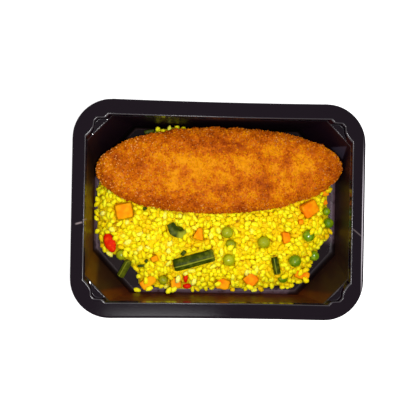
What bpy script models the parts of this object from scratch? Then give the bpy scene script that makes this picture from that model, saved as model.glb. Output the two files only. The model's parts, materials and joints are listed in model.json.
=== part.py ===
"""A ready meal in a black plastic tray: yellow vegetable rice and one breaded cutlet.

Frame: metres, +Z up, +X along the tray, +Y towards the side where the cutlet lies.
The origin is the middle of the tray's underside.
"""

import math
import random

import bmesh
import bpy
from mathutils import Matrix, Vector, noise
from mathutils.geometry import delaunay_2d_cdt, intersect_point_line

MM = 0.001
OBJECT_NAME = "tray_meal"

# Tray: outer size, mouth and floor
TRAY_LENGTH = 187.0 * MM
TRAY_WIDTH = 138.5 * MM
TRAY_HEIGHT = 36.0 * MM
WALL = 0.75 * MM
CORNER_RADIUS = 25.3 * MM
# Turned-down lip and rounded mouth edge: drop under the flange, distance from the outline
LIP_PROFILE = (
    (2.6 * MM, 0.0), (1.0 * MM, 0.0), (0.25 * MM, 0.3 * MM), (0.0, 1.0 * MM))
MOUTH_PROFILE = ((0.0, 0.5 * MM), (0.15 * MM, 0.15 * MM), (0.55 * MM, 0.0))
MOUTH_LENGTH = 170.2 * MM
MOUTH_WIDTH = 118.9 * MM
MOUTH_CUT = (14.1 * MM, 14.3 * MM)
FLOOR_LENGTH = 162.3 * MM
FLOOR_WIDTH = 111.1 * MM
FLOOR_CUT = (26.0 * MM, 28.5 * MM)
FLOOR_FILLET = 2.4 * MM
SIDE_BOW = 0.5 * MM

# Stacking pocket let into each corner of the mouth: its plan, from the mouth's corner
POCKET_DEPTH = 4.5 * MM
POCKET_FALL = 0.3 * MM
POCKET_PLAN = ((4.6, 8.4), (5.1, 4.75), (6.1, 3.6), (7.1, 2.6), (8.9, 2.4), (10.8, 2.3))
# Where the ten points of a corner lie along its straight cut
CUT_STEPS = (0.0, 0.16, 0.33, 0.42, 0.5, 0.58, 0.66, 0.75, 0.87, 1.0)
POCKET_POINTS = range(2, 8)

# Cutlet: a pointed oval slab
CUTLET_CENTRE = Vector((1.3, 26.6, 19.2)) * MM
CUTLET_HALF_LENGTH = 80.6 * MM
CUTLET_SLOPE = 1.7 / 81.0
CUTLET_BACK = 27.2 * MM
CUTLET_FRONT = 28.4 * MM
CUTLET_TOP = 8.6 * MM
CUTLET_UNDER = 7.6 * MM
CUTLET_SECTION_POWER = 2.4
CUTLET_CRAG = 1.3 * MM
# Crags: size of the lumps and their share of the relief
CUTLET_LUMPS = ((6.0 * MM, 0.8), (19.0 * MM, 0.6))
CUTLET_SIDES = 26
CUTLET_RINGS = 42

# Rice: plan of the heap, clockwise from the cutlet's left end, in millimetres
RICE_PLAN = (
    (-73, 28), (-60, 38), (-48, 46), (-42, 53.6), (-30, 54.8), (-20, 54.4), (-12, 47),
    (30, 47), (58, 41), (73, 31), (78, 19), (76.5, 8), (78, -6), (77.5, -16), (71, -25),
    (66.5, -36), (63.5, -40), (64, -46), (56, -47), (50, -51.6), (42, -51), (33, -52.2),
    (27, -53.6), (16, -52.6), (6, -53.4), (-12, -53.2), (-27, -53.4), (-38, -51.4),
    (-49, -53.4), (-52, -49), (-51.8, -43), (-57, -39), (-65, -32), (-73, -30),
    (-78, -25), (-79.8, -14), (-80, 4), (-79.6, 15),
)
RICE_EDGE = 4.0 * MM
RICE_EDGE_SPREAD = 0.8 * MM
RICE_EDGE_INSET = 0.9 * MM
RICE_TOP = 16.0 * MM
RICE_SHOULDER = 13.0 * MM
RICE_SWELL = 1.3 * MM
RICE_SWELL_SIZE = 22.0 * MM
# Rice pushed up between the cutlet and the tray's back wall
BACK_PILE = Vector((-31.0, 55.0)) * MM
BACK_PILE_RISE = 6.5 * MM
BACK_PILE_SIZE = Vector((11.0, 14.0)) * MM
GRAIN_PITCH = 5.0 * MM
HIDDEN_PITCH = 8.0 * MM
# Rice is hidden where the cutlet's underside is this far below its middle plane
HIDDEN_DEPTH = 5.2 * MM
GRAIN_HALF_RIDGE = 1.25 * MM
GRAIN_RISE = 0.75 * MM
GRAIN_DIP = 1.0 * MM

# Points closer together than this are one point
MERGE = 0.001 * MM
# Clearance between pieces that touch, and how far the rice stays under the cutlet
GAP = 0.32 * MM
CUTLET_CLEARANCE = 0.4 * MM
CUTLET_RIM_CLEARANCE = 1.6 * MM

# Peas: x, y, diameter, lift of the centre above the heap (millimetres)
PEAS = (
    (7.0, -14.4, 8.2, 0.8), (9.6, -22.3, 7.2, -1.6), (8.4, -32.5, 8.6, 0.6),
    (31.3, -20.4, 8.6, 0.6), (61.0, -15.8, 8.4, -0.4), (52.1, -32.5, 8.6, 0.9),
    (66.0, -29.3, 7.6, 1.0), (75.6, -7.2, 7.4, 1.6), (74.0, 0.6, 5.6, 1.2),
    (-62.2, -30.4, 7.8, 1.4), (-34.4, -46.6, 6.6, 1.2), (45.2, -44.6, 6.6, -1.8),
)
# Carrot dice: x, y, length, width, height, turn in degrees, taper, lift (millimetres)
CARROTS = (
    (-61.0, -1.3, 11.6, 10.8, 8.0, 12, 1.0, 0.0), (-11.4, -15.4, 8.4, 8.2, 6.5, 80, 0.35, 0.2),
    (-40.5, -32.5, 4.8, 3.8, 4.5, 20, 1.0, 0.2), (-44.2, -48.2, 11.8, 7.2, 7.0, 37, 0.9, 1.2),
    (-26.4, -48.4, 7.2, 8.8, 7.0, 8, 0.9, 1.4), (5.4, -48.8, 9.2, 8.4, 7.0, -12, 0.8, 1.4),
    (23.8, -45.6, 9.4, 9.8, 7.0, 40, 0.8, 1.0), (46.2, -17.0, 5.4, 8.8, 6.0, 12, 0.7, -0.3),
    (61.6, 2.2, 11.6, 10.6, 8.0, 32, 0.9, 0.0), (55.6, -6.8, 3.2, 3.2, 3.6, 0, 1.0, 0.2),
    (58.2, -41.8, 10.4, 7.4, 6.0, -20, 0.8, 1.0), (73.2, 13.0, 4.6, 4.6, 4.4, 10, 1.0, 0.8),
    (72.8, 6.6, 3.4, 3.4, 3.6, 25, 1.0, 1.0),
)
# Bean cuts: name, both ends (x, y, z), width and height of the section (millimetres)
BEANS = (
    ("bean_long", (-28.4, -36.8, 18.4), (-1.2, -29.0, 19.0), 8.2, 6.0),
    ("bean_left", (-57.2, -34.2, 10.4), (-63.0, -45.0, 5.2), 5.0, 4.4),
    ("bean_right", (38.2, -30.0, 16.8), (40.8, -41.6, 15.6), 4.4, 4.6),
)
# Rise of a bean's middle as a share of its height, and how far its ends are drawn in
BEAN_ARCH = 0.06
BEAN_END_LEAN = 0.3
# Red pepper slices: x, y, length, width, thickness, turn in degrees, lift (millimetres)
PEPPERS = (
    (-69.9, -22.4, 14.0, 7.6, 4.2, -66, 1.6), (-19.8, -45.0, 6.0, 3.0, 3.2, 90, 1.2),
    (-18.6, -50.6, 6.0, 3.6, 3.2, 5, 1.6),
)
# How far a slice's ends curl down, as a share of its thickness, and how flat its top is
PEPPER_CURL = 0.35
PEPPER_FLATNESS = 0.7
PEPPER_TILT = (0.08, -0.06)
# Small green cuts: x, y, length, width, height, turn in degrees, lift (millimetres)
GREEN_BITS = (
    (-47.4, 0.4, 3.2, 2.8, 3.2, 30, 0.2), (-21.6, -28.4, 4.2, 3.0, 3.2, 50, 0.2),
    (-49.0, -37.4, 5.2, 2.2, 3.0, 5, 0.4), (-45.9, -33.9, 2.8, 2.2, 3.0, 60, 0.2),
    (-45.6, 51.4, 7.0, 3.2, 3.6, 12, 1.6),
)
# Folded piece of green pepper: middle and lift (millimetres), radius, thickness and the
# slope of both sides of its fold
GREEN_SLICE_PLACE = (-27.6, -14.6, 1.4)
GREEN_SLICE_RADIUS = 7.6 * MM
GREEN_SLICE_THICKNESS = 1.2 * MM
GREEN_SLICE_FOLD = 0.4
GREEN_SLICE_WAVE = 0.5 * MM
GREEN_SLICE_WAVE_LENGTH = 10.0 * MM
# Lobes of its outline: how many, how deep, and where they begin
GREEN_SLICE_LOBES = ((2, 0.22, 0.6), (3, 0.12, 0.0))
GREEN_SLICE_NARROWING = 0.8
GREEN_SLICE_TURN = (0.1, 0.1, math.radians(-28))
GREEN_BIT_TILT = (0.1, 0.05)
# How far pieces sink into the heap, as a share of their height
BLOCK_SINK = 0.3
BIT_SINK = 0.2


def mix(start, end, part):
    """The value part of the way from start to end."""
    return start + (end - start) * part


def linear(red, green, blue):
    """Linear colour of an 8-bit screen colour."""
    return tuple((value / 255) ** 2.2 for value in (red, green, blue)) + (1.0,)


def make_material(name, colour, roughness):
    """A Principled material of one colour."""
    material = bpy.data.materials.new(name)
    material.use_nodes = True
    shader = material.node_tree.nodes["Principled BSDF"]
    shader.inputs["Base Color"].default_value = colour
    shader.inputs["Roughness"].default_value = roughness
    shader.inputs["Metallic"].default_value = 0.0
    return material


def make_object(name, vertices, faces, material, collection):
    """A mesh object from vertices and faces, in the given collection."""
    mesh = bpy.data.meshes.new(name)
    mesh.from_pydata(vertices, [], faces)
    mesh.update()
    mesh.materials.append(material)
    obj = bpy.data.objects.new(name, mesh)
    collection.objects.link(obj)
    return obj


def take_primitive(name, material, collection):
    """Name the primitive just added, give it a material and move it to the collection."""
    obj = bpy.context.active_object
    obj.name = name
    obj.data.name = name
    obj.data.materials.append(material)
    for owner in list(obj.users_collection):
        owner.objects.unlink(obj)
    collection.objects.link(obj)
    return obj


# Tray

def wall_section(z):
    """Half length, half width and corner cut of the tray's inside at height z."""
    part = (z - WALL) / (TRAY_HEIGHT - WALL)
    return (
        mix(FLOOR_LENGTH, MOUTH_LENGTH, part) / 2,
        mix(FLOOR_WIDTH, MOUTH_WIDTH, part) / 2,
        (mix(FLOOR_CUT[0], MOUTH_CUT[0], part), mix(FLOOR_CUT[1], MOUTH_CUT[1], part)),
    )


def cut_corner(cut):
    """Corner points of a straight cut, as distances from the two sides."""
    return [(cut[0] * step, cut[1] * (1 - step)) for step in CUT_STEPS]


def round_corner(radius):
    """Corner points of a quarter circle, as distances from the two sides."""
    turns = [math.pi / 2 * index / (len(CUT_STEPS) - 1) for index in range(len(CUT_STEPS))]
    return [(radius * (1 - math.cos(turn)), radius * (1 - math.sin(turn))) for turn in turns]


def pocket_corner(cut):
    """Corner points of the cut with the stacking pocket let into it."""
    corner = cut_corner(cut)
    for index, (inset_x, inset_y) in zip(POCKET_POINTS, POCKET_PLAN):
        corner[index] = (inset_x * MM, inset_y * MM)
    return corner


def quarter_ring(z, half_x, half_y, corner, bow):
    """A quarter of an outline, from the short side's middle to the long side's middle."""
    first_inset = corner[0][1]
    last_inset = corner[-1][0]
    reach = half_x - last_inset
    points = [Vector((half_x, share * (half_y - first_inset), z)) for share in (0.0, 0.5)]
    points += [Vector((half_x - inset_x, half_y - inset_y, z)) for inset_x, inset_y in corner]
    for share in (0.66, 0.33, 0.0):
        points.append(Vector((share * reach, half_y - bow * (1 - share * share), z)))
    return points


def tray_rings():
    """Outlines of the tray's visible skin, from the lip's foot to the floor."""
    rings = []
    for drop, inset in LIP_PROFILE:
        rings.append(quarter_ring(
            TRAY_HEIGHT - drop, TRAY_LENGTH / 2 - inset, TRAY_WIDTH / 2 - inset,
            round_corner(CORNER_RADIUS - inset), SIDE_BOW))
    for drop, outset in MOUTH_PROFILE:
        rings.append(quarter_ring(
            TRAY_HEIGHT - drop, MOUTH_LENGTH / 2 + outset, MOUTH_WIDTH / 2 + outset,
            pocket_corner(MOUTH_CUT), SIDE_BOW))
    pocket_z = TRAY_HEIGHT - POCKET_DEPTH
    half_x, half_y, cut = wall_section(pocket_z)
    rings.append(quarter_ring(pocket_z, half_x, half_y, pocket_corner(cut), SIDE_BOW))
    shelf_z = pocket_z - POCKET_FALL
    half_x, half_y, cut = wall_section(shelf_z)
    rings.append(quarter_ring(shelf_z, half_x, half_y, cut_corner(cut), SIDE_BOW))
    for turn in (0.0, math.pi / 4, math.pi / 2):
        inset = FLOOR_FILLET * (1 - math.cos(turn))
        z = WALL + FLOOR_FILLET * (1 - math.sin(turn))
        half_x, half_y, cut = wall_section(z)
        cut = [side - inset * (2 - math.sqrt(2)) for side in cut]
        rings.append(quarter_ring(z, half_x - inset, half_y - inset, cut_corner(cut), 0.0))
    return rings


def build_tray(collection, material):
    """One shell: turned-down lip, flange, pocketed mouth, drafted walls and floor."""
    rings = tray_rings()
    count = len(rings[0])
    vertices = [point for ring in rings for point in ring]
    faces = []
    for ring in range(len(rings) - 1):
        for index in range(count - 1):
            outer = ring * count + index
            inner = outer + count
            faces.append((outer, outer + 1, inner + 1, inner))
    last_ring = range(len(vertices) - count, len(vertices))
    vertices.append(Vector((0.0, 0.0, WALL)))
    faces.append(tuple(last_ring) + (len(vertices) - 1,))
    tray = make_object("tray", vertices, faces, material, collection)
    mirror = tray.modifiers.new("both_halves", "MIRROR")
    mirror.use_axis = (True, True, False)
    mirror.merge_threshold = 0.00002
    solidify = tray.modifiers.new("wall", "SOLIDIFY")
    solidify.thickness = WALL
    solidify.offset = -1.0
    solidify.use_even_offset = True
    return tray


# Cutlet

def cutlet_half_width(along, side):
    """Half width at a place along the cutlet (-1 to 1), at its back (+1) or front (-1)."""
    span = max(0.0, 1 - abs(along) ** 2.1)
    if side > 0:
        return CUTLET_BACK * span ** 0.47
    blunt = 0.5 if along < 0 else 0.6
    return CUTLET_FRONT * span ** blunt


def cutlet_height(along, reach):
    """Height above or depth below the middle plane, at a place along the cutlet."""
    return reach * max(0.0, 1 - abs(along) ** 2.6) ** 0.45


def cutlet_axis(along):
    """Y of the line between the cutlet's tips."""
    return CUTLET_CENTRE.y + CUTLET_SLOPE * along * CUTLET_HALF_LENGTH


def cutlet_underside(x, y):
    """Height of the cutlet's underside over a place, or None beside the cutlet."""
    along = (x - CUTLET_CENTRE.x) / CUTLET_HALF_LENGTH
    if abs(along) >= 1:
        return None
    across = y - cutlet_axis(along)
    reach = abs(across) / max(cutlet_half_width(along, across), 0.1 * MM)
    if reach >= 1:
        return None
    dome = (1 - reach ** CUTLET_SECTION_POWER) ** (1 / CUTLET_SECTION_POWER)
    return CUTLET_CENTRE.z - cutlet_height(along, CUTLET_UNDER) * dome


def rice_limit(x, y):
    """Height that the rice keeps below the cutlet, lower towards the cutlet's edge."""
    underside = cutlet_underside(x, y)
    if underside is None:
        return None
    rim = 1 - (CUTLET_CENTRE.z - underside) / CUTLET_UNDER
    return underside - mix(CUTLET_CLEARANCE, CUTLET_RIM_CLEARANCE, rim)


def build_cutlet(collection, material):
    """A ball with its poles at the tips, shaped to the slab, with crags in the crust."""
    bpy.ops.mesh.primitive_uv_sphere_add(
        segments=CUTLET_SIDES, ring_count=CUTLET_RINGS, radius=1.0)
    cutlet = take_primitive("cutlet", material, collection)
    power = 2 / CUTLET_SECTION_POWER
    for vertex in cutlet.data.vertices:
        along = vertex.co.z
        turn = math.atan2(vertex.co.y, vertex.co.x)
        side, lift = math.cos(turn), math.sin(turn)
        width = cutlet_half_width(along, side) * math.copysign(abs(side) ** power, side)
        reach = CUTLET_TOP if lift > 0 else CUTLET_UNDER
        height = cutlet_height(along, reach) * math.copysign(abs(lift) ** power, lift)
        point = Vector((
            CUTLET_CENTRE.x + along * CUTLET_HALF_LENGTH,
            cutlet_axis(along) + width,
            CUTLET_CENTRE.z + height))
        crust = min(1.0, max(0.0, lift + 0.35) * 2)
        crag = sum(noise.noise(point / size) * share for size, share in CUTLET_LUMPS)
        outward = Vector((0.0, side, lift))
        vertex.co = point + outward * crag * CUTLET_CRAG * crust
    return cutlet


# Rice

def plan_outline(step):
    """The rice's plan as points a grain apart, uneven by part of a grain's width."""
    generator = random.Random(11)
    corners = [Vector(corner) * MM for corner in RICE_PLAN]
    points = []
    for start, end in zip(corners, corners[1:] + corners[:1]):
        count = max(1, round((end - start).length / step))
        for index in range(count):
            point = start.lerp(end, index / count)
            inset = generator.uniform(0.0, RICE_EDGE_INSET)
            points.append(point * (1 - inset / point.length))
    return points


def is_inside(point, outline):
    """True where a plan point lies inside the closed outline."""
    inside = False
    for start, end in zip(outline, outline[1:] + outline[:1]):
        if (start.y > point.y) != (end.y > point.y):
            crossing = start.x + (point.y - start.y) * (end.x - start.x) / (end.y - start.y)
            if point.x < crossing:
                inside = not inside
    return inside


def edge_distance(point, outline):
    """Distance in plan from a point to the closed outline."""
    nearest = []
    for start, end in zip(outline, outline[1:] + outline[:1]):
        foot, share = intersect_point_line(point, start, end)
        foot = start.lerp(end, min(1.0, max(0.0, share)))
        nearest.append((point - foot).length)
    return min(nearest)


def rim_height(point):
    """Height of the heap's edge, raised where rice is pushed up against the back wall."""
    away_x = (point.x - BACK_PILE.x) / BACK_PILE_SIZE.x
    away_y = (point.y - BACK_PILE.y) / BACK_PILE_SIZE.y
    return RICE_EDGE + BACK_PILE_RISE * math.exp(-(away_x ** 4) - away_y ** 2)


def rice_height(point, outline):
    """Height of the heap's mean surface, dished where the cutlet lies on it."""
    shoulder = min(1.0, edge_distance(point, outline) / RICE_SHOULDER)
    swell = noise.noise(Vector((point.x, point.y, 0.0)) / RICE_SWELL_SIZE) * RICE_SWELL
    height = mix(rim_height(point), RICE_TOP + swell, math.sin(shoulder * math.pi / 2))
    limit = rice_limit(point.x, point.y)
    return height if limit is None else min(height, limit)


def is_under_cutlet(point):
    """True where the cutlet hides the rice, a grain's width in from its edge."""
    underside = cutlet_underside(point.x, point.y)
    return underside is not None and underside < CUTLET_CENTRE.z - HIDDEN_DEPTH


def lattice_points(pitch, outline, hidden):
    """Points of a loose triangular lattice on the open or on the hidden rice."""
    generator = random.Random(5 if hidden else 3)
    points = []
    row_height = pitch * math.sqrt(3) / 2
    rows = int(TRAY_WIDTH / row_height)
    columns = int(TRAY_LENGTH / pitch)
    for row in range(-rows // 2, rows // 2 + 1):
        for column in range(-columns // 2, columns // 2 + 1):
            shift = Vector((generator.uniform(-1, 1), generator.uniform(-1, 1))) * pitch * 0.2
            point = Vector((column + (row % 2) / 2, 0.0)) * pitch + shift
            point.y += row * row_height
            if is_under_cutlet(point) != hidden or not is_inside(point, outline):
                continue
            if edge_distance(point, outline) > pitch * 0.45:
                points.append(point)
    return points


def floor_point(point):
    """The plan point moved in as far as the floor's flat part reaches."""
    half_x, half_y, cut = wall_section(WALL)
    half_x -= FLOOR_FILLET + GAP
    half_y -= FLOOR_FILLET + GAP
    moved = Vector((
        min(half_x, max(-half_x, point.x)), min(half_y, max(-half_y, point.y))))
    cut_x, cut_y = (side - (FLOOR_FILLET + GAP) * (2 - math.sqrt(2)) for side in cut)
    excess = (abs(moved.x) - half_x) / cut_x + (abs(moved.y) - half_y) / cut_y + 1
    if excess > 0:
        moved.x -= math.copysign(excess * cut_x / 2, moved.x)
        moved.y -= math.copysign(excess * cut_y / 2, moved.y)
    return moved


def rice_surface(outline):
    """Plan points and heights: outline, hidden rice, grain ridges and the dips between."""
    generator = random.Random(7)
    points = list(outline)
    heights = [rim_height(point) + generator.uniform(-1, 1) * RICE_EDGE_SPREAD
               for point in outline]
    for point in lattice_points(HIDDEN_PITCH, outline, True):
        points.append(point)
        heights.append(rice_height(point, outline))
    first_grain = len(points)
    for centre in lattice_points(GRAIN_PITCH, outline, False):
        turn = generator.uniform(0, math.pi)
        ridge = Vector((math.cos(turn), math.sin(turn))) * GRAIN_HALF_RIDGE
        rise = generator.uniform(0.2, 1.0) * GRAIN_RISE
        for point in (centre - ridge, centre + ridge):
            points.append(point)
            limit = rice_height(point, outline)
            under = cutlet_underside(point.x, point.y) is not None
            heights.append(limit if under else limit + rise)
    grain_count = len(points) - first_grain
    edges = [(index, (index + 1) % len(outline)) for index in range(len(outline))]
    faces = delaunay_2d_cdt(points, edges, [], 1, 0.01 * MM)[2]
    for face in faces:
        owners = {(index - first_grain) // 2 for index in face}
        if min(face) < first_grain or len(owners) < 3 or max(face) >= first_grain + grain_count:
            continue
        middle = sum((points[index] for index in face), Vector((0.0, 0.0))) / 3
        points.append(middle)
        heights.append(rice_height(middle, outline) - GRAIN_DIP * generator.uniform(0.3, 1.0))
    return points, heights, edges


def build_rice(collection, material, cutters):
    """The heap: a bumpy top, a steep uneven edge and a flat foot, with a socket per piece."""
    outline = plan_outline(GRAIN_PITCH)
    points, heights, edges = rice_surface(outline)
    plan, _, faces, origins, _, _ = delaunay_2d_cdt(points, edges, [], 1, 0.01 * MM)
    vertices = [
        Vector((point.x, point.y, heights[origin[0]])) for point, origin in zip(plan, origins)]
    rim = {origin[0]: index for index, origin in enumerate(origins)}
    top_rim = [rim[index] for index in range(len(outline))]
    foot_z = WALL + GAP
    foot_rim = range(len(vertices), len(vertices) + len(outline))
    for index in top_rim:
        foot = floor_point(plan[index])
        vertices.append(Vector((foot.x, foot.y, foot_z)))
    faces = [tuple(face) for face in faces]
    for index in range(len(outline)):
        after = (index + 1) % len(outline)
        faces.append((top_rim[index], top_rim[after], foot_rim[after], foot_rim[index]))
    faces.append(tuple(foot_rim))
    rice = make_object("rice_heap", vertices, faces, material, collection)
    tidy_shell(rice)
    sockets = rice.modifiers.new("sockets", "BOOLEAN")
    sockets.operation = "DIFFERENCE"
    sockets.operand_type = "COLLECTION"
    sockets.collection = cutters
    sockets.solver = "EXACT"
    keep_largest_shell(rice)
    return rice


def tidy_shell(obj):
    """Drop loose points and turn all faces outwards."""
    shell = bmesh.new()
    shell.from_mesh(obj.data)
    loose = [vertex for vertex in shell.verts if not vertex.link_faces]
    bmesh.ops.delete(shell, geom=loose, context="VERTS")
    bmesh.ops.recalc_face_normals(shell, faces=shell.faces)
    shell.to_mesh(obj.data)
    shell.free()


def keep_largest_shell(obj):
    """Apply the modifiers, then drop loose scraps that a socket cut off."""
    evaluated = obj.evaluated_get(bpy.context.evaluated_depsgraph_get())
    mesh = bpy.data.meshes.new_from_object(evaluated)
    shell = bmesh.new()
    shell.from_mesh(mesh)
    bmesh.ops.remove_doubles(shell, verts=shell.verts, dist=MERGE)
    bmesh.ops.triangulate(shell, faces=shell.faces)
    groups = []
    unseen = set(shell.verts)
    while unseen:
        group = [unseen.pop()]
        for vertex in group:
            for edge in vertex.link_edges:
                other = edge.other_vert(vertex)
                if other in unseen:
                    unseen.discard(other)
                    group.append(other)
        groups.append(group)
    groups.sort(key=len)
    for group in groups[:-1]:
        bmesh.ops.delete(shell, geom=group, context="VERTS")
    shell.to_mesh(mesh)
    shell.free()
    obj.modifiers.clear()
    obj.data = mesh


# Vegetables

def add_socket(piece, cutters):
    """A cutter shaped like the piece and larger by the gap all round."""
    bpy.context.view_layer.update()
    evaluated = piece.evaluated_get(bpy.context.evaluated_depsgraph_get())
    mesh = bpy.data.meshes.new_from_object(evaluated)
    mesh.transform(piece.matrix_world)
    shell = bmesh.new()
    shell.from_mesh(mesh)
    bmesh.ops.recalc_face_normals(shell, faces=shell.faces)
    moves = [vertex.normal * GAP * vertex.calc_shell_factor() for vertex in shell.verts]
    for vertex, move in zip(shell.verts, moves):
        vertex.co += move
    shell.to_mesh(mesh)
    shell.free()
    cutter = bpy.data.objects.new(piece.name + "_socket", mesh)
    cutters.objects.link(cutter)
    cutter.hide_render = True
    cutter.display_type = "WIRE"


def place(piece, x, y, lift, outline):
    """Set a piece into the heap, its middle raised by lift over the rice."""
    plan = Vector((x, y)) * MM
    height = rice_height(plan, outline)
    piece.location = (plan.x, plan.y, height + lift * MM)


def add_block(name, length, width, height, taper, generator, collection, material):
    """A knife-cut block: uneven corners, one end narrower by taper, softened edges."""
    bpy.ops.mesh.primitive_cube_add(size=1.0)
    block = take_primitive(name, material, collection)
    for vertex in block.data.vertices:
        narrow = taper if vertex.co.x > 0 else 1.0
        uneven = [generator.uniform(0.88, 1.0) for _ in range(3)]
        vertex.co = Vector((
            vertex.co.x * length * uneven[0],
            vertex.co.y * width * narrow * uneven[1],
            vertex.co.z * height * uneven[2])) * MM
    bevel = block.modifiers.new("soft_edges", "BEVEL")
    bevel.width = 0.09 * min(length, width * taper * 2, height) * MM
    bevel.segments = 1
    bevel.limit_method = "NONE"
    return block


def build_peas(collection, material, outline):
    """Round peas, each a little flattened and turned its own way."""
    generator = random.Random(21)
    peas = []
    for number, (x, y, diameter, lift) in enumerate(PEAS, 1):
        bpy.ops.mesh.primitive_ico_sphere_add(subdivisions=2, radius=diameter / 2 * MM)
        pea = take_primitive(f"pea_{number:02d}", material, collection)
        squash = Matrix.Diagonal((1.0, 0.96, generator.uniform(0.88, 0.97), 1.0))
        pea.data.transform(squash)
        pea.rotation_euler = [generator.uniform(-0.5, 0.5) for _ in range(3)]
        place(pea, x, y, lift, outline)
        peas.append(pea)
    return peas


def build_carrots(collection, material, outline):
    """Carrot dice and wedges, tilted a little in the rice."""
    generator = random.Random(33)
    carrots = []
    for number, (x, y, length, width, height, turn, taper, lift) in enumerate(CARROTS, 1):
        carrot = add_block(
            f"carrot_{number:02d}", length, width, height, taper, generator,
            collection, material)
        tilt = [generator.uniform(-0.12, 0.12) for _ in range(2)]
        carrot.rotation_euler = (*tilt, math.radians(turn))
        place(carrot, x, y, lift - height * BLOCK_SINK, outline)
        carrots.append(carrot)
    return carrots


def build_bean(name, start, end, width, height, collection, material):
    """A cut length of green bean: an arched oval bar, its ends drawn in at top and bottom."""
    start, end = Vector(start) * MM, Vector(end) * MM
    run = end - start
    bpy.ops.mesh.primitive_cylinder_add(vertices=10, radius=0.5, depth=1.0)
    bean = take_primitive(name, material, collection)
    shape = bmesh.new()
    shape.from_mesh(bean.data)
    for share in (-0.25, 0.0, 0.25):
        geometry = shape.verts[:] + shape.edges[:] + shape.faces[:]
        bmesh.ops.bisect_plane(shape, geom=geometry, plane_co=(0, 0, share), plane_no=(0, 0, 1))
    for vertex in shape.verts:
        share = vertex.co.z
        arch = BEAN_ARCH * (1 - (2 * share) ** 2)
        is_end = math.isclose(abs(share), 0.5, abs_tol=0.01)
        lean = BEAN_END_LEAN * abs(vertex.co.y) * width * MM if is_end else 0.0
        vertex.co = Vector((
            share * run.length - lean * math.copysign(1.0, share),
            vertex.co.x * width * MM,
            vertex.co.y * height * MM + arch * height * MM))
    shape.to_mesh(bean.data)
    shape.free()
    bean.rotation_euler = run.to_track_quat("X", "Z").to_euler()
    bean.location = (start + end) / 2
    return bean


def build_peppers(collection, material, outline):
    """Red pepper slices: flat ovals that curl down towards both ends."""
    peppers = []
    for number, (x, y, length, width, thickness, turn, lift) in enumerate(PEPPERS, 1):
        bpy.ops.mesh.primitive_uv_sphere_add(segments=12, ring_count=8, radius=0.5)
        pepper = take_primitive(f"red_pepper_{number}", material, collection)
        for vertex in pepper.data.vertices:
            along, across, up = vertex.co
            flat_top = math.copysign((2 * abs(up)) ** PEPPER_FLATNESS, up) / 2
            curl = PEPPER_CURL * (2 * along) ** 2
            vertex.co = Vector((along * length, across * width, (flat_top - curl) * thickness)) * MM
        pepper.rotation_euler = (*PEPPER_TILT, math.radians(turn))
        place(pepper, x, y, lift - thickness * BLOCK_SINK, outline)
        peppers.append(pepper)
    return peppers


def build_green_bits(collection, material, outline):
    """Small cuts of bean and leaf between the grains."""
    generator = random.Random(52)
    bits = []
    for number, (x, y, length, width, height, turn, lift) in enumerate(GREEN_BITS, 1):
        bit = add_block(
            f"green_bit_{number}", length, width, height, 0.8, generator, collection, material)
        bit.rotation_euler = (*GREEN_BIT_TILT, math.radians(turn))
        place(bit, x, y, lift - height * BIT_SINK, outline)
        bits.append(bit)
    return bits


def build_green_slice(collection, material, outline):
    """A thin piece of green pepper skin, lobed and folded along its middle."""
    segments = 14
    vertices = [Vector((0.0, 0.0, 0.0))]
    for share in (0.5, 1.0):
        for index in range(segments):
            turn = 2 * math.pi * index / segments
            lobes = sum(depth * math.cos(number * turn + start)
                        for number, depth, start in GREEN_SLICE_LOBES)
            radius = GREEN_SLICE_RADIUS * share * (1 + lobes)
            vertices.append(Vector((
                radius * math.cos(turn), radius * math.sin(turn) * GREEN_SLICE_NARROWING, 0.0)))
    for vertex in vertices:
        wave = GREEN_SLICE_WAVE * math.sin(2 * math.pi * vertex.y / GREEN_SLICE_WAVE_LENGTH)
        vertex.z = wave - GREEN_SLICE_FOLD * abs(vertex.x)
    faces = []
    for index in range(segments):
        after = (index + 1) % segments
        inner, inner_after = 1 + index, 1 + after
        outer, outer_after = inner + segments, inner_after + segments
        faces.append((0, inner, inner_after))
        faces.append((inner, outer, outer_after))
        faces.append((inner, outer_after, inner_after))
    green_slice = make_object("green_pepper", vertices, faces, material, collection)
    solidify = green_slice.modifiers.new("skin", "SOLIDIFY")
    solidify.thickness = GREEN_SLICE_THICKNESS
    solidify.offset = 0.0
    green_slice.rotation_euler = GREEN_SLICE_TURN
    place(green_slice, *GREEN_SLICE_PLACE, outline)
    return green_slice


def main():
    """Build the whole meal in the collection named for it."""
    for obj in list(bpy.data.objects):
        bpy.data.objects.remove(obj, do_unlink=True)
    collection = bpy.data.collections.new(OBJECT_NAME)
    cutters = bpy.data.collections.new("cutters")
    bpy.context.scene.collection.children.link(collection)
    bpy.context.scene.collection.children.link(cutters)

    black = make_material("tray_black", linear(30, 24, 30), 0.25)
    crust = make_material("crust", linear(205, 112, 18), 0.7)
    yellow = make_material("yellow_rice", linear(244, 214, 20), 0.5)
    orange = make_material("carrot_orange", linear(250, 140, 10), 0.45)
    pea_green = make_material("pea_green", linear(130, 160, 20), 0.4)
    dark_green = make_material("bean_green", linear(50, 75, 10), 0.35)
    red = make_material("pepper_red", linear(225, 40, 10), 0.35)

    outline = plan_outline(GRAIN_PITCH)
    build_tray(collection, black)
    build_cutlet(collection, crust)
    pieces = build_peas(collection, pea_green, outline)
    pieces += build_carrots(collection, orange, outline)
    pieces += [build_bean(*bean, collection, dark_green) for bean in BEANS]
    pieces += build_peppers(collection, red, outline)
    pieces += build_green_bits(collection, dark_green, outline)
    pieces.append(build_green_slice(collection, dark_green, outline))
    for piece in pieces:
        add_socket(piece, cutters)
    build_rice(collection, yellow, cutters)


main()
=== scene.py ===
"""Ready meal in a black plastic tray: yellow vegetable rice and one crumbed cutlet."""

import json
import math
import random

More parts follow.
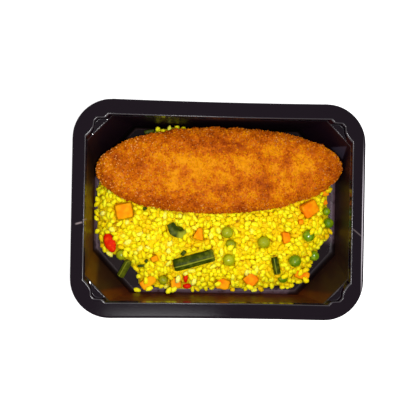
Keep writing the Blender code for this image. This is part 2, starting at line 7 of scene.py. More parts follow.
import bmesh
import bpy
import numpy as np
from bpy.props import FloatProperty, FloatVectorProperty, IntProperty, PointerProperty
from mathutils import Matrix, Vector, noise
from mathutils.bvhtree import BVHTree

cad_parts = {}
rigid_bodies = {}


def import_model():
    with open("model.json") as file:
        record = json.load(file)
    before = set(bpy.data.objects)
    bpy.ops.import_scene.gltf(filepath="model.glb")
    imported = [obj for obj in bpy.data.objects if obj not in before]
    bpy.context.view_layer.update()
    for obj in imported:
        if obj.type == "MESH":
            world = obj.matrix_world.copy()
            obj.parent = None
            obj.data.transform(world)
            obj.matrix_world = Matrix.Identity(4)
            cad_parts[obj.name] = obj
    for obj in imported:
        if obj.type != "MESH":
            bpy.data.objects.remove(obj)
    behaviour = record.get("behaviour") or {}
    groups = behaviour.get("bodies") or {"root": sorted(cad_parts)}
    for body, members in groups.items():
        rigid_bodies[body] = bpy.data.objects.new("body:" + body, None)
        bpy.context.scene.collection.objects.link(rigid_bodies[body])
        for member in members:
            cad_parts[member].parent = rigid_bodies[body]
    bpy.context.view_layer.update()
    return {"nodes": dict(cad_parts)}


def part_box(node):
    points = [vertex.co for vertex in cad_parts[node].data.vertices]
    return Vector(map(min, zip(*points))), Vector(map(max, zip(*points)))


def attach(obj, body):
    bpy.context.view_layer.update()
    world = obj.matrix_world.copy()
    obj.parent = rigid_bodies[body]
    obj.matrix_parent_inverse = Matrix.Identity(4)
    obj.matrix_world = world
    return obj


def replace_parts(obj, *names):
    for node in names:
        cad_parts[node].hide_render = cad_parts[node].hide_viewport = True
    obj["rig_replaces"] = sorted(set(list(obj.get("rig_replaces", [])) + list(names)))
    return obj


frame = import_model()

bl_info = {
    "name": "Tray meal",
    "version": (1, 0, 0),
    "blender": (4, 5, 0),
    "location": "3D View > Sidebar > Tray meal",
    "description": "Dresses the packed tray meal with fine pieces, finishes, camera and light",
    "category": "Object",
}

MM = 0.001
BODY = "root"
SMOOTH_PASSES = 8
ORDER_STEPS = 100_000
# Triangles of a solid are joined to faces below these angles before it is softened
FLAT_ANGLE = math.radians(28)
SHAPE_ANGLE = math.radians(120)
# Seeds of the random draws
CRUMB_SEED, HEAP_SEED, JITTER_SEED, TOP_SEED, GRAIN_SEED = 71, 13, 5, 29, 3

# Tray: inside sizes, corner cuts and pockets, as in the solid
WALL = 0.75 * MM
CORNER_RADIUS = 25.3 * MM
LIP_DROP = 2.6 * MM
MOUTH = (170.2 * MM, 118.9 * MM)
MOUTH_CUT = (14.1, 14.3)
FLOOR = (162.3 * MM, 111.1 * MM)
FLOOR_CUT = (26.0, 28.5)
FLOOR_FILLET = 2.4 * MM
SIDE_BOW = 0.5 * MM
POCKET_DEPTH = 4.5 * MM
POCKET_PLAN = ((4.6, 8.4), (5.1, 4.75), (6.1, 3.6), (7.1, 2.6), (8.9, 2.4), (10.8, 2.3))
CUT_STEPS = (0.0, 0.16, 0.33, 0.42, 0.5, 0.58, 0.66, 0.75, 0.87, 1.0)
POCKET_POINTS = range(2, 8)
CURVE_CUTS = 4
LIP_ROUND = 1.0 * MM
ROUND_STEPS = 6
# Height from the pocket's floor, share of the way from the pocket's outline to the cut, edge mark
# for the painted highlight
SHELF_PROFILE = (
    (0.5, 0.0, 0.0), (0.25, 0.0, 0.5), (0.08, 0.015, 1.0), (0.0, 0.05, 1.0),
    (-0.002, 0.07, 0.0), (-0.012, 0.90, 0.0), (-0.014, 0.91, 1.0), (-0.03, 0.95, 1.0),
    (-0.14, 0.985, 1.0), (-0.4, 1.0, 1.0), (-0.8, 1.0, 0.0),
)
EDGE_STEP = 0.05 * MM

# How much rougher than the flange the rounded edges, the walls and the floor's fillet are
EDGE_ROUGHNESS = 0.10
WALL_ROUGHNESS = 0.3
FILLET_ROUGHNESS = 0.4

# Marks on the flange: start and end (x, y), half width (millimetres), strength
SCRATCHES = (
    ((-91.2, -10.4), (-85.6, -8.8), 0.9, 0.8), ((-86.0, -7.8), (-83.8, -7.0), 0.7, 0.7),
    ((84.8, -9.4), (92.4, -15.6), 0.7, 0.3),
)

# Cutlet: the slab's form, as in the solid
CUTLET_CENTRE = Vector((1.3, 26.6, 19.2)) * MM
CUTLET_HALF_LENGTH = 80.6 * MM
CUTLET_SLOPE = 1.7 / 81.0
CUTLET_BACK = 27.2 * MM
CUTLET_FRONT = 28.4 * MM
CUTLET_TOP = 8.6 * MM
CUTLET_UNDER = 7.6 * MM
CUTLET_POWER = 2.4
# Browning of the crust: x, y, half length, half width (millimetres), shift to dark
TOAST = (
    (-21, 32, 8, 4, -0.4), (-31, 20, 7, 5, -0.35), (-11, 25, 8, 6, -0.4), (3, 20, 8, 5, -0.4),
    (-3, 9, 5, 4, -0.3), (34, 40, 6, 5, -0.4), (15, 30, 6, 6, -0.3), (54, 31, 8, 9, -0.35),
    (48, 16, 6, 4, -0.35), (-40, 33, 6, 4, -0.25), (23, 9, 6, 4, -0.25), (3, 43, 17, 5, 0.25),
    (0, 13, 4, 5, 0.3), (28, 19, 8, 5, 0.3), (44, 33, 2.5, 8, 0.35), (-50, 27, 4, 7, 0.2),
    (-29, 5, 15, 4, 0.2), (18, 2, 10, 3, 0.2), (70, 28, 6, 9, 0.1), (-32, 41, 10, 4, 0.15),
)

# Peas that lie further right than this are the fresher green ones
FRESH_PEAS_FROM = 38 * MM

# Bean cuts: both ends (x, y, z), width and height of the section (millimetres)
BEANS = {
    "bean_long": ((-28.4, -36.8, 18.4), (-1.2, -29.0, 19.0), 8.2, 6.0),
    "bean_left": ((-57.2, -34.2, 10.4), (-63.0, -45.0, 5.2), 5.0, 4.4),
    "bean_right": ((38.2, -30.0, 16.8), (40.8, -41.6, 15.6), 4.4, 4.6),
}

# Bed of mashed grains: its depth under the heap's surface, its lumps, its pits
BED_DEPTH = 1.1 * MM
BED_LUMP = 0.9 * MM
BED_LUMP_SIZE = 3.2 * MM
BED_PIT_DEPTH = 7.0 * MM
BED_PIT_SIZE = 3.6 * MM

# Grains that lie over a vegetable or loose on the floor: x, y (millimetres), turn, paleness
TOP_GRAINS = (
    (-45.9, -46.8, 95, 0.5), (-43.6, -52.2, 20, 0.7), (-25.0, -45.6, 80, 0.95),
    (-27.6, -52.6, 35, 0.8), (1.6, -48.6, 15, 0.6), (-14.6, -47.0, 70, 0.9),
    (22.6, -50.2, 160, 0.6), (-51.6, -54.0, -12, 0.6), (-30.7, -53.0, 55, 0.6),
    (56.6, -40.4, 60, 0.6), (60.0, -45.0, 140, 0.5), (59.6, -38.6, 20, 0.4),
    (45.4, -42.6, 30, 0.5), (61.6, -27.0, 120, 0.3), (-59.6, -29.6, 100, 0.6),
    (9.0, -24.4, 40, 0.7), (62.6, -12.6, 60, 0.4), (75.0, 15.0, 20, 0.3),
)

# Grains: how far they fill up over the heap's surface, how uneven that is, the least hollow
# that takes one, how far one may stand up, its gap to the cutlet, and how far below the
# cutlet's middle its underside may be where grains still go
GRAIN_COVER = 0.75 * MM
GRAIN_JITTER = 0.9 * MM
GRAIN_HOLLOW = 0.6 * MM
GRAIN_STAND = 1.9 * MM
GRAIN_GAP = 0.15 * MM
GRAIN_REACH = 5.6 * MM
BROKEN_SHARE = 0.35
TURNS_TRIED = 4

# Lamps and camera: places and sizes (metres), turn of the camera (degrees)
KEY_PLACE = (0.0, -0.018, 0.62)
STREAK_PLACE = (-0.028, -0.136, 0.6)
STREAK_SIZE = (0.15, 0.012)
CAMERA_PLACE = (-0.042673, -0.001609, 0.6)
CAMERA_TURN = (0.107, -3.722, 1.049)


# Colour and shader helpers

def screen(red, green, blue):
    """Linear colour of an 8-bit screen colour."""
    return tuple(
        value / 12.92 if value <= 0.04045 else ((value + 0.055) / 1.055) ** 2.4
        for value in (red / 255, green / 255, blue / 255))


def opaque(colour):
    """A colour with its alpha."""
    return (*colour, 1.0)[:4]


def colour_setting(name, description, default):
    """A colour for a property group."""
    return FloatVectorProperty(
        name=name, description=description, default=default, subtype="COLOR", min=0.0, max=1.0)


def length_setting(name, description, default, low, high):
    """A length for a property group, given in millimetres."""
    return FloatProperty(
        name=name, description=description, default=default * MM, min=low * MM, max=high * MM,
        unit="LENGTH", precision=5)


class Value:
    """A socket of a material; arithmetic on it adds Math nodes."""

    def __init__(self, finish, socket):
        self.finish = finish
        self.socket = socket

    def math(self, operation, *values):
        """A Math node with the given operation."""
        return self.finish.node(
            "ShaderNodeMath", {"operation": operation}, dict(enumerate(values)))

    def __add__(self, other):
        return self.math("ADD", self, other)

    def __sub__(self, other):
        return self.math("SUBTRACT", self, other)

    def __rsub__(self, other):
        return self.math("SUBTRACT", other, self)

    def __mul__(self, other):
        return self.math("MULTIPLY", self, other)

    def __abs__(self):
        return self.math("ABSOLUTE", self)

    __radd__ = __add__
    __rmul__ = __mul__

    def rise(self, low, high):
        """0 below low and 1 above high, smooth between them."""
        return self.finish.node(
            "ShaderNodeMapRange", {"interpolation_type": "SMOOTHSTEP"},
            {"Value": self, "From Min": low, "From Max": high})

    def band(self, low, high, soft):
        """1 between low and high and 0 beyond, with soft borders."""
        return self.rise(low - soft, low) * (1 - self.rise(high, high + soft))


class Finish:
    """A Principled material and the one method that adds a node to it."""

    def __init__(self, name, constants):
        self.material = bpy.data.materials.new(name)
        self.material.use_nodes = True
        self.tree = self.material.node_tree
        self.shader = self.tree.nodes["Principled BSDF"]
        self.set(constants)
        self.coordinates = self.node("ShaderNodeTexCoord", output="Object")

    def set(self, values):
        """Set or link sockets of the shader."""
        for key, value in values.items():
            self.feed(self.shader.inputs[key], value)

    def feed(self, socket, value):
        """Link a value to a socket, or set the socket to it."""
        if isinstance(value, Value):
            self.tree.links.new(value.socket, socket)
        else:
            socket.default_value = opaque(value) if socket.type == "RGBA" else value

    def node(self, kind, settings=None, values=None, output=0):
        """A node with its settings, the values of its sockets, and the output wanted."""
        made = self.tree.nodes.new(kind)
        for key, setting in (settings or {}).items():
            if key == "stops":
                elements = made.color_ramp.elements
                elements[0].position, elements[1].position = setting[0][0], setting[-1][0]
                for place, _ in setting[1:-1]:
                    elements.new(place)
                for element, (_, colour) in zip(elements, setting):
                    element.color = opaque(colour)
            else:
                setattr(made, key, setting)
        for key, value in (values or {}).items():
            self.feed(made.inputs[key], value)
        return Value(self, made.outputs[output])

    def noise(self, size, detail=2.0, shift=0.0, rough=0.5):
        """Noise whose features are about size across, moved by shift, both in millimetres."""
        place = self.coordinates
        if shift:
            place = self.node(
                "ShaderNodeVectorMath", {"operation": "ADD"}, {0: place, 1: (shift * MM,) * 3})
        return self.node("ShaderNodeTexNoise", None, {
            "Vector": place, "Scale": 1 / (size * MM), "Detail": detail, "Roughness": rough})

    def attribute(self, name):
        """A number stored on the piece's vertices."""
        return self.node("ShaderNodeAttribute", {"attribute_name": name}, output="Fac")

    def axis(self, index):
        """The x, y or z of the place on the piece, in millimetres."""
        place = self.node("ShaderNodeSeparateXYZ", None, {0: self.coordinates}, output=index)
        return place * (1 / MM)

    def mix(self, factor, first, second):
        """Colour between first and second."""
        return self.node(
            "ShaderNodeMix", {"data_type": "RGBA"}, {0: factor, 6: first, 7: second}, output=2)

    def ramp(self, factor, *stops):
        """Colour of a ramp with stops (place, colour)."""
        return self.node("ShaderNodeValToRGB", {"stops": stops}, {0: factor})

    def bump(self, height, distance, strength=1.0):
        """Relief from a height between 0 and 1, distance (millimetres) deep."""
        self.set({"Normal": self.node("ShaderNodeBump", None, {
            "Strength": strength, "Distance": distance * MM, "Height": height})})


# Mesh helpers

def new_object(name, data):
    """An object in the scene that shows a mesh, a lamp or a camera."""
    made = bpy.data.objects.new(name, data)
    bpy.context.scene.collection.objects.link(made)
    return made


def new_mesh(name, shape):
    """A mesh made from a bmesh, which is used up."""
    mesh = bpy.data.meshes.new(name)
    shape.to_mesh(mesh)
    shape.free()
    return mesh


def add_piece(name, shape, material, nodes=()):
    """Store a bmesh or a mesh as a smooth piece that rides on the tray's body."""
    mesh = new_mesh(name, shape) if isinstance(shape, bmesh.types.BMesh) else shape
    mesh.polygons.foreach_set("use_smooth", [True] * len(mesh.polygons))
    mesh.materials.append(material)
    piece = new_object(name, mesh)
    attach(piece, BODY)
    if nodes:
        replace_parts(piece, *nodes)
    return piece


def store(mesh, name, values):
    """Keep one number per vertex on a mesh."""
    mesh.attributes.new(name, "FLOAT", "POINT").data.foreach_set(
        "value", np.asarray(values, np.float32).ravel())


def read(items, key, width=3):
    """One field of a mesh's vertices or faces as an array."""
    values = np.zeros(len(items) * width)
    items.foreach_get(key, values)
    return values.reshape(-1, width)


def put_in_order(shape):
    """Number vertices and faces by place, as some operators leave them in any order."""
    def place(point):
        """One number that grows with x, then y, then z."""
        x, y, z = (round(value * ORDER_STEPS) for value in point)
        return (x * 2 * ORDER_STEPS + y) * 2 * ORDER_STEPS + z

    shape.verts.sort(key=lambda vertex: place(vertex.co))
    shape.faces.sort(key=lambda face: place(face.calc_center_median()))
    shape.verts.index_update()
    shape.faces.index_update()


def template(make, **sizes):
    """Vertices and triangles of a create_ shape, for joined copies."""
    shape = bmesh.new()
    make(shape, **sizes)
    bmesh.ops.triangulate(shape, faces=shape.faces)
    put_in_order(shape)
    vertices = np.array([vertex.co[:] for vertex in shape.verts])
    faces = np.array([[vertex.index for vertex in face.verts] for face in shape.faces])
    shape.free()
    return vertices, faces


def joined_copies(name, vertices, faces):
    """One mesh of many copies: vertices (copy, vertex, 3) and the template's triangles."""
    count, size = vertices.shape[:2]
    corners = (faces[None] + (np.arange(count) * size)[:, None, None]).reshape(-1)
    mesh = bpy.data.meshes.new(name)
    mesh.vertices.add(count * size)
    mesh.vertices.foreach_set("co", vertices.reshape(-1))
    mesh.loops.add(len(corners))
    mesh.loops.foreach_set("vertex_index", corners.astype(np.int32))
    mesh.polygons.add(len(corners) // 3)
    mesh.polygons.foreach_set("loop_start", np.arange(0, len(corners), 3, dtype=np.int32))
    mesh.update(calc_edges=True)
    return mesh


def tree_of(*pieces):
    """Search tree over the faces of one or more pieces."""
    vertices, faces = [], []
    for piece in pieces:
        first = len(vertices)
        vertices += [vertex.co.copy() for vertex in piece.data.vertices]
        faces += [[first + index for index in face.vertices] for face in piece.data.polygons]
    return BVHTree.FromPolygons(vertices, faces)


def refined_copy(node, levels, wobble, size, grow=1.0):
    """A copy of a node's mesh with soft edges and an uneven surface, grown about its middle."""
    shape = bmesh.new()
    shape.from_mesh(frame["nodes"][node].data)
    bmesh.ops.remove_doubles(shape, verts=shape.verts, dist=0.001 * MM)
    bmesh.ops.join_triangles(
        shape, faces=shape.faces, angle_face_threshold=FLAT_ANGLE,
        angle_shape_threshold=SHAPE_ANGLE)
    holder = new_object(node + "_holder", new_mesh(node, shape))
    subdivision = holder.modifiers.new("soft", "SUBSURF")
    subdivision.levels = subdivision.render_levels = levels
    evaluated = holder.evaluated_get(bpy.context.evaluated_depsgraph_get())
    shape = bmesh.new()
    shape.from_mesh(evaluated.to_mesh())
    bpy.data.objects.remove(holder)
    low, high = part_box(node)
    middle = (low + high) / 2
    for _ in range(SMOOTH_PASSES):
        bmesh.ops.smooth_vert(
            shape, verts=shape.verts, factor=0.5, use_axis_x=True, use_axis_y=True,
            use_axis_z=True)
    for vertex in shape.verts:
        vertex.co = middle + (vertex.co - middle) * grow
    shape.normal_update()
    for vertex in shape.verts:
        swell = noise.noise(vertex.co / size) + 0.5 * noise.noise(vertex.co / size * 2.7)
        vertex.co += vertex.normal * swell * wobble
    return shape


# Tray

class TraySettings(bpy.types.PropertyGroup):
    """Sizes and colours of the tray."""

    colour: colour_setting("Plastic", "Colour of the plastic", (0.0042, 0.0010, 0.0042))
    roughness: FloatProperty(
        name="Roughness", description="Roughness of flange and walls", default=0.085,
        min=0.0, max=1.0, subtype="FACTOR")
    mouth_round: length_setting(
        "Mouth rounding", "Radius of the edge from flange to wall", 0.5, 0.1, 2.0)


def scratch(finish, start, end, width, strength):
    """How strong a straight mark on the flange is, 0 beside it."""
    start, end = Vector(start), Vector(end)
    length = (end - start).length
    heading = (end - start) / length
    x, y = finish.axis(0) - start.x, finish.axis(1) - start.y
    along = x * heading.x + y * heading.y
    across = abs(y * heading.x - x * heading.y)
    ends = along.rise(0.0, length * 0.3) * (1 - along.rise(length * 0.7, length))
    return (1 - across.rise(0.0, width)) * ends * strength


def tray_finish(settings):
    """Glossy black plastic: painted reflection of the rice on the walls, painted reflection on
    the floor beside the rice, painted shade, painted highlights on the edges, marks on the
    flange.
    """
    finish = Finish("tray_black", {"Specular IOR Level": 0.19})
    x, y, z = (finish.axis(index) for index in range(3))
    edge, fillet = finish.attribute("edge"), finish.attribute("fillet")
    cloud = finish.noise(16, 2)
    # Painted reflection of the rice in the walls: below the pockets' floor, weaker to the back
    # and right, strongest near the rice
    painted_rice_reflection = (1 - z.rise(29.5, 31.2)) * (1 - y.rise(2, 38) * 0.93) * (1 - x.rise(40, 80) * 0.5)
    near = (x * -1).rise(76, 79) + (y * -1).rise(51, 54)
    painted_rice_reflection = painted_rice_reflection * (near * 0.7 + 0.3) * (z.rise(0.9, 5) * 0.8 + 0.2)
    painted_rice_reflection = painted_rice_reflection * (cloud.rise(0.2, 0.7) * 0.4 + 0.6)
    # Painted reflection on the floor: lighter purple-grey strips along both short sides and the
    # front
    floor = 1 - z.rise(1.4, 2.6)
    sides = abs(x).rise(72, 76) * (y - x * 0.05).rise(-27, -20)
    front = (y * -1).rise(51, 53) * (1 - abs(x).rise(46, 56))
    painted_floor_reflection = floor * (sides + front) * finish.noise(3, 3).rise(0.2, 0.55)
    # Painted shade: the fillet of corners and back, and the floor behind the cutlet, made deep
    # black and less reflective
    corner = (abs(x) * (1 / FLOOR_CUT[0]) + abs(y) * (1 / FLOOR_CUT[1])).rise(3.8, 3.9)
    dull_and_painted_shade = fillet * (corner + y.rise(20, 40)).rise(0.0, 1.0) * 0.45 + floor * y.rise(30, 38) * 0.5
    # Painted reflection: a pale patch on the back right cut. Painted highlight: a pale line along
    # the right rim (shine)
    walls = z.band(4.0, 30.4, 0.4)
    painted_cut_reflection = walls * x.band(74, 82.4, 0.4) * (1 - y.rise(42.6, 43.6)) * (x + y).rise(117.4, 118.6)
    shine = x.band(91.8, 92.3, 0.15) * (1 - abs(y + 8).rise(10, 62))
    marks = sum((scratch(finish, *mark) for mark in SCRATCHES), 0.0)
    # Brown of the painted rice reflection, redder on the front wall
    colour = finish.mix(
        (y * -1).rise(50, 53), (0.105, 0.0410, 0.0020), (0.098, 0.0205, 0.0016))
    colour = finish.mix(painted_rice_reflection, settings.colour, colour)
    # Painted reflections, painted shade and painted highlights (edge band and shine) over the
    # base colour, then the marks
    for mask, tone in (
            (painted_floor_reflection, (0.085, 0.050, 0.066)), (painted_cut_reflection, (0.026, 0.020, 0.032)),
            (dull_and_painted_shade, (0.0040, 0.0020, 0.0020)), (edge, (0.042, 0.037, 0.042)),
            (shine, (0.46, 0.42, 0.45)), (marks, (0.30, 0.24, 0.24))):
        colour = finish.mix(mask, colour, tone)
    rough = walls * WALL_ROUGHNESS + fillet * FILLET_ROUGHNESS + edge * EDGE_ROUGHNESS
    finish.set({
        "Base Color": colour,
        "Metallic": dull_and_painted_shade,
        "Roughness": rough + cloud * 0.04 + (settings.roughness - 0.02),
    })
    finish.bump(finish.noise(0.9, 3), 0.02, 0.35)
    return finish.material


def outside_finish(settings):
    """The tray's outer side: the plain plastic, with the clouding of the mould."""
    finish = Finish("tray_black_outside", {"Specular IOR Level": 0.3})
    cloud = finish.noise(16, 3)
    finish.set({
        "Base Color": finish.mix(cloud, settings.colour, (0.0075, 0.0045, 0.0075)),
        "Roughness": cloud * 0.15 + settings.roughness * 2,
    })
    finish.bump(finish.noise(0.9, 3), 0.02, 0.35)
    return finish.material


def cut_corner(cut):
    """Corner points of a straight cut, as distances from the two sides."""
    return np.array([(cut[0] * step, cut[1] * (1 - step)) for step in CUT_STEPS]) * MM


def pocket_corner(cut):
    """Corner points of the cut with the stacking pocket let into it."""
    corner = cut_corner(cut)
    for index, inset in zip(POCKET_POINTS, POCKET_PLAN):
        corner[index] = np.array(inset) * MM
    return corner


def round_corner(radius):
    """Corner points of a quarter circle, as distances from the two sides."""
    turns = np.linspace(0, math.pi / 2, len(CUT_STEPS))
    return radius * np.stack([1 - np.cos(turns), 1 - np.sin(turns)], 1)


def curve_through(points):
    """A smooth curve through corner points, with extra points between them."""
    ends = [2 * points[0] - points[1], *points, 2 * points[-1] - points[-2]]
    curve = [points[0]]
    for before, start, end, after in zip(ends, ends[1:], ends[2:], ends[3:]):
        for cut in range(1, CURVE_CUTS + 1):
            t = cut / CURVE_CUTS
            curve.append(0.5 * (
                2 * start + (end - before) * t
                + (2 * before - 5 * start + 4 * end - after) * t ** 2
                + (3 * start - before - 3 * end + after) * t ** 3))
    return curve


def quarter_ring(z, half_x, half_y, corner, bow):
    """A quarter of an outline, from the short side's middle to the long side's middle."""
    corner = curve_through(corner)
    reach = half_x - corner[-1][0]
    points = [(half_x, share * (half_y - corner[0][1]), z) for share in (0, 0.25, 0.5, 0.75)]
    points += [(half_x - inset_x, half_y - inset_y, z) for inset_x, inset_y in corner]
    points += [
        (share * reach, half_y - bow * (1 - share ** 2), z)
        for share in (0.83, 0.66, 0.5, 0.33, 0.17, 0.0)]
    return points


def wall_ring(z, corner_kind, bow, inset=0.0, outset=0.0, blend=0.0):
    """An outline of the tray's inside at height z."""
    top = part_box("tray")[1].z
    part = min(1.0, (z - WALL) / (top - WALL))
    half = [(low + (high - low) * part) / 2 for low, high in zip(FLOOR, MOUTH)]
    cut = [low + (high - low) * part for low, high in zip(FLOOR_CUT, MOUTH_CUT)]
    cut = [side - inset / MM * (2 - math.sqrt(2)) for side in cut]
    corner = corner_kind(cut)
    if blend:
        corner = corner + (cut_corner(cut) - corner) * blend
    return quarter_ring(z, half[0] - inset + outset, half[1] - inset + outset, corner, bow)


def round_edge(radius):
    """Steps along a rounded edge, as distances from the two faces that it joins."""
    turns = [math.pi / 2 * step / ROUND_STEPS for step in range(ROUND_STEPS + 1)]
    return [(radius * (1 - math.sin(turn)), radius * (1 - math.cos(turn))) for turn in turns]


def tray_rings(settings):
    """Outlines of the visible skin from the lip's foot to the floor, each with its marks.

    The first mark is 1 on the rounded edges of mouth and pockets, where a highlight is painted;
    the second is 1 on the floor's fillet.
    """
    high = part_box("tray")[1]
    top = high.z
    edge = settings.mouth_round
    lip = [(LIP_DROP, 0.0), (LIP_ROUND + 0.4 * MM, 0.0), *round_edge(LIP_ROUND),
           (0.0, LIP_ROUND + 0.6 * MM)]
    rings = [(quarter_ring(
        top - drop, high.x - inset, high.y - inset, round_corner(CORNER_RADIUS - inset),
        SIDE_BOW), 0.0, 0.0) for drop, inset in lip]
    mouth = [(0.0, edge + 0.6 * MM, 0.0), (0.0, edge + EDGE_STEP, 0.0),
             *((drop, outset, 1.0) for outset, drop in round_edge(edge)),
             (edge + 0.5 * MM, 0.0, 0.0)]
    rings += [(wall_ring(top - drop, pocket_corner, SIDE_BOW, outset=outset), mark, 0.0)
              for drop, outset, mark in mouth]
    shelf = top - POCKET_DEPTH
    rings += [(wall_ring(shelf + lift * MM, pocket_corner, SIDE_BOW, blend=blend), mark, 0.0)
              for lift, blend, mark in SHELF_PROFILE]
    rings += [(wall_ring(WALL + FLOOR_FILLET + lift, cut_corner, 0.0), 0.0, 0.0)
              for lift in (12 * MM, 0.6 * MM)]
    rings += [(wall_ring(WALL + lift, cut_corner, 0.0, inset=inset), 0.0, 1.0)
              for lift, inset in round_edge(FLOOR_FILLET)]
    rings += [(wall_ring(WALL, cut_corner, 0.0, inset=FLOOR_FILLET + step), 0.0, 0.0)
              for step in (EDGE_STEP, 1.0 * MM)]
    return rings


class MEAL_OT_tray(bpy.types.Operator):
    """Form the black plastic tray"""

    bl_idname = "meal.tray"
    bl_label = "Tray"

    def execute(self, context):
        """Bend a grid to a quarter of the tray, mirror it and give it its wall."""
        settings = context.scene.meal_tray
        rings = tray_rings(settings)
        shape = bmesh.new()
        # The edge layer marks the rounded edges where the finish paints a highlight; the fillet
        # layer marks the floor's fillet
        edge = shape.verts.layers.float.new("edge")
        fillet = shape.verts.layers.float.new("fillet")
        bmesh.ops.create_grid(
            shape, x_segments=len(rings[0][0]) - 1, y_segments=len(rings) - 1, size=1.0)
        ordered = sorted(shape.verts, key=lambda vertex: (round(vertex.co.y, 4), vertex.co.x))
        if len(ordered) != len(rings) * len(rings[0][0]):
            raise RuntimeError("the grid doesn't fit the tray's outlines")
        places = ((point, ring[1:]) for ring in rings for point in ring[0])
        for vertex, (point, marks) in zip(ordered, places):
            vertex.co = point
            vertex[edge], vertex[fillet] = marks
        for axis in "XY":
            bmesh.ops.mirror(
                shape, geom=shape.verts[:] + shape.edges[:] + shape.faces[:],
                matrix=Matrix.Identity(4), merge_dist=0.01 * MM, axis=axis)
        bmesh.ops.remove_doubles(shape, verts=shape.verts, dist=0.005 * MM)
        rim = [edge for edge in shape.edges
               if edge.is_boundary and edge.verts[0].co.z < WALL + 0.1 * MM]
        bmesh.ops.edgeloop_fill(shape, edges=rim)
        bmesh.ops.recalc_face_normals(shape, faces=shape.faces)
        shape.normal_update()
        floor = max(shape.faces, key=lambda face: face.calc_area())
        if floor.normal.z < 0:
            bmesh.ops.reverse_faces(shape, faces=shape.faces)
        tray = add_piece("tray_shell", shape, tray_finish(settings), ["tray"])
        wall = tray.modifiers.new("wall", "SOLIDIFY")
        wall.thickness = WALL
        wall.offset = -1.0
        wall.use_even_offset = True
        tray.data.materials.append(outside_finish(settings))
        wall.material_offset = 1
        return {"FINISHED"}


# Cutlet

class CutletSettings(bpy.types.PropertyGroup):
    """Sizes and colours of the cutlet."""

    golden: colour_setting("Golden", "Colour of the palest crust", screen(217, 138, 4))
    brown: colour_setting("Brown", "Colour of the ordinary crust", screen(192, 96, 4))
    dark: colour_setting("Dark", "Colour of the most browned crust", screen(140, 54, 4))
    crumbs: IntProperty(
        name="Crumbs", description="Number of loose crumbs on the crust", default=7600,
        min=0, max=9000)
    crumb_size: length_setting("Crumb size", "Mean diameter of a crumb", 1.15, 0.3, 4.0)


def cutlet_half_width(along, side):
    """Half width at a place along the cutlet (-1 to 1), at its back (+1) or front (-1)."""
    span = max(0.0, 1 - abs(along) ** 2.1)
    if side > 0:
        return CUTLET_BACK * span ** 0.47
    return CUTLET_FRONT * span ** (0.5 if along < 0 else 0.6)


def crag(point):
    """Height of the crust's relief over the plain slab."""
    broad = noise.noise(point / (6.0 * MM)) * 0.8 + noise.noise(point / (19.0 * MM)) * 0.6
    near = noise.voronoi(point / (1.7 * MM))[0][0]
    fine = noise.noise(point / (0.9 * MM))
    return (broad * 1.3 + (0.45 - near) * 0.75 + fine * 0.22) * MM


def cutlet_shape():
    """The slab with its crags, and how close each vertex is to the rim."""
    shape = bmesh.new()
    bmesh.ops.create_uvsphere(shape, u_segments=220, v_segments=360, radius=1.0)
    put_in_order(shape)
    power = 2 / CUTLET_POWER
    rims = []
    for vertex in shape.verts:
        along = max(-1.0, min(1.0, vertex.co.z))
        turn = math.atan2(vertex.co.y, vertex.co.x)
        side, lift = math.cos(turn), math.sin(turn)
        width = cutlet_half_width(along, side) * math.copysign(abs(side) ** power, side)
        reach = CUTLET_TOP if lift > 0 else CUTLET_UNDER
        fall = max(0.0, 1 - abs(along) ** 2.6) ** 0.45
        height = reach * fall * math.copysign(abs(lift) ** power, lift)
        axis = CUTLET_CENTRE.y + CUTLET_SLOPE * along * CUTLET_HALF_LENGTH
        point = Vector((
            CUTLET_CENTRE.x + along * CUTLET_HALF_LENGTH, axis + width,
            CUTLET_CENTRE.z + height))
        crust = min(1.0, max(0.25, (lift + 0.35) * 2))
        vertex.co = point + Vector((0.0, side, lift)) * crag(point) * crust
        rims.append(max(abs(side) ** 2, abs(along) ** 4) if lift > 0 else 1.0)
    return shape, rims


def browning(points):
    """How far each point's crust is shifted to dark by the patches it lies in."""
    shift = np.zeros(len(points))
    for x, y, half_x, half_y, change in TOAST:
        away = ((points[:, 0] / MM - x) / half_x) ** 2 + ((points[:, 1] / MM - y) / half_y) ** 2
        shift += change * np.exp(-away ** 1.5)
    return shift


def crumb_mesh(settings, base, rims):
    """Loose crumbs set into the upper crust, joined in one mesh."""
    draw = np.random.default_rng(CRUMB_SEED)
    points = read(base.vertices, "co")
    normals = read(base.polygons, "normal")
    areas = read(base.polygons, "area", 1)[:, 0]
    areas = np.round(areas / MM ** 2, 4) * (normals[:, 2] > -0.3)
    chosen = draw.choice(len(areas), settings.crumbs, p=areas / areas.sum())
    first = np.array([min(base.polygons[int(index)].vertices) for index in chosen])
    corners, faces = template(bmesh.ops.create_icosphere, subdivisions=1, radius=1.0)
    tints = draw.uniform(0, 1, settings.crumbs)
    sizes = settings.crumb_size / 2 * draw.lognormal(0.0, 0.3, (settings.crumbs, 1, 1))
    sizes = np.minimum(sizes, settings.crumb_size * 0.95)
    # The palest crumbs, which take the painted glints, are smaller
    sizes = sizes * np.where(tints > 0.8, 0.75, 1.0)[:, None, None]
    lumps = corners[None] * draw.uniform(0.62, 1.2, (settings.crumbs, len(corners), 1))
    lumps = lumps * draw.uniform(0.6, 1.15, (settings.crumbs, 1, 3)) * sizes
    turns = draw.normal(size=(settings.crumbs, 3, 3))
    turns = np.linalg.qr(turns)[0]
    turns[np.linalg.det(turns) < 0] *= -1
    lumps = np.einsum("nvi,nij->nvj", lumps, turns)
    centres = points[first] + normals[chosen] * 0.05 * MM
    mesh = joined_copies("cutlet_crumbs", lumps + centres[:, None], faces)
    store(mesh, "rim", np.repeat(np.array(rims)[first], len(corners)))
    store(mesh, "toast", np.repeat(browning(points[first]), len(corners)))
    store(mesh, "tint", np.repeat(tints, len(corners)))
    return mesh


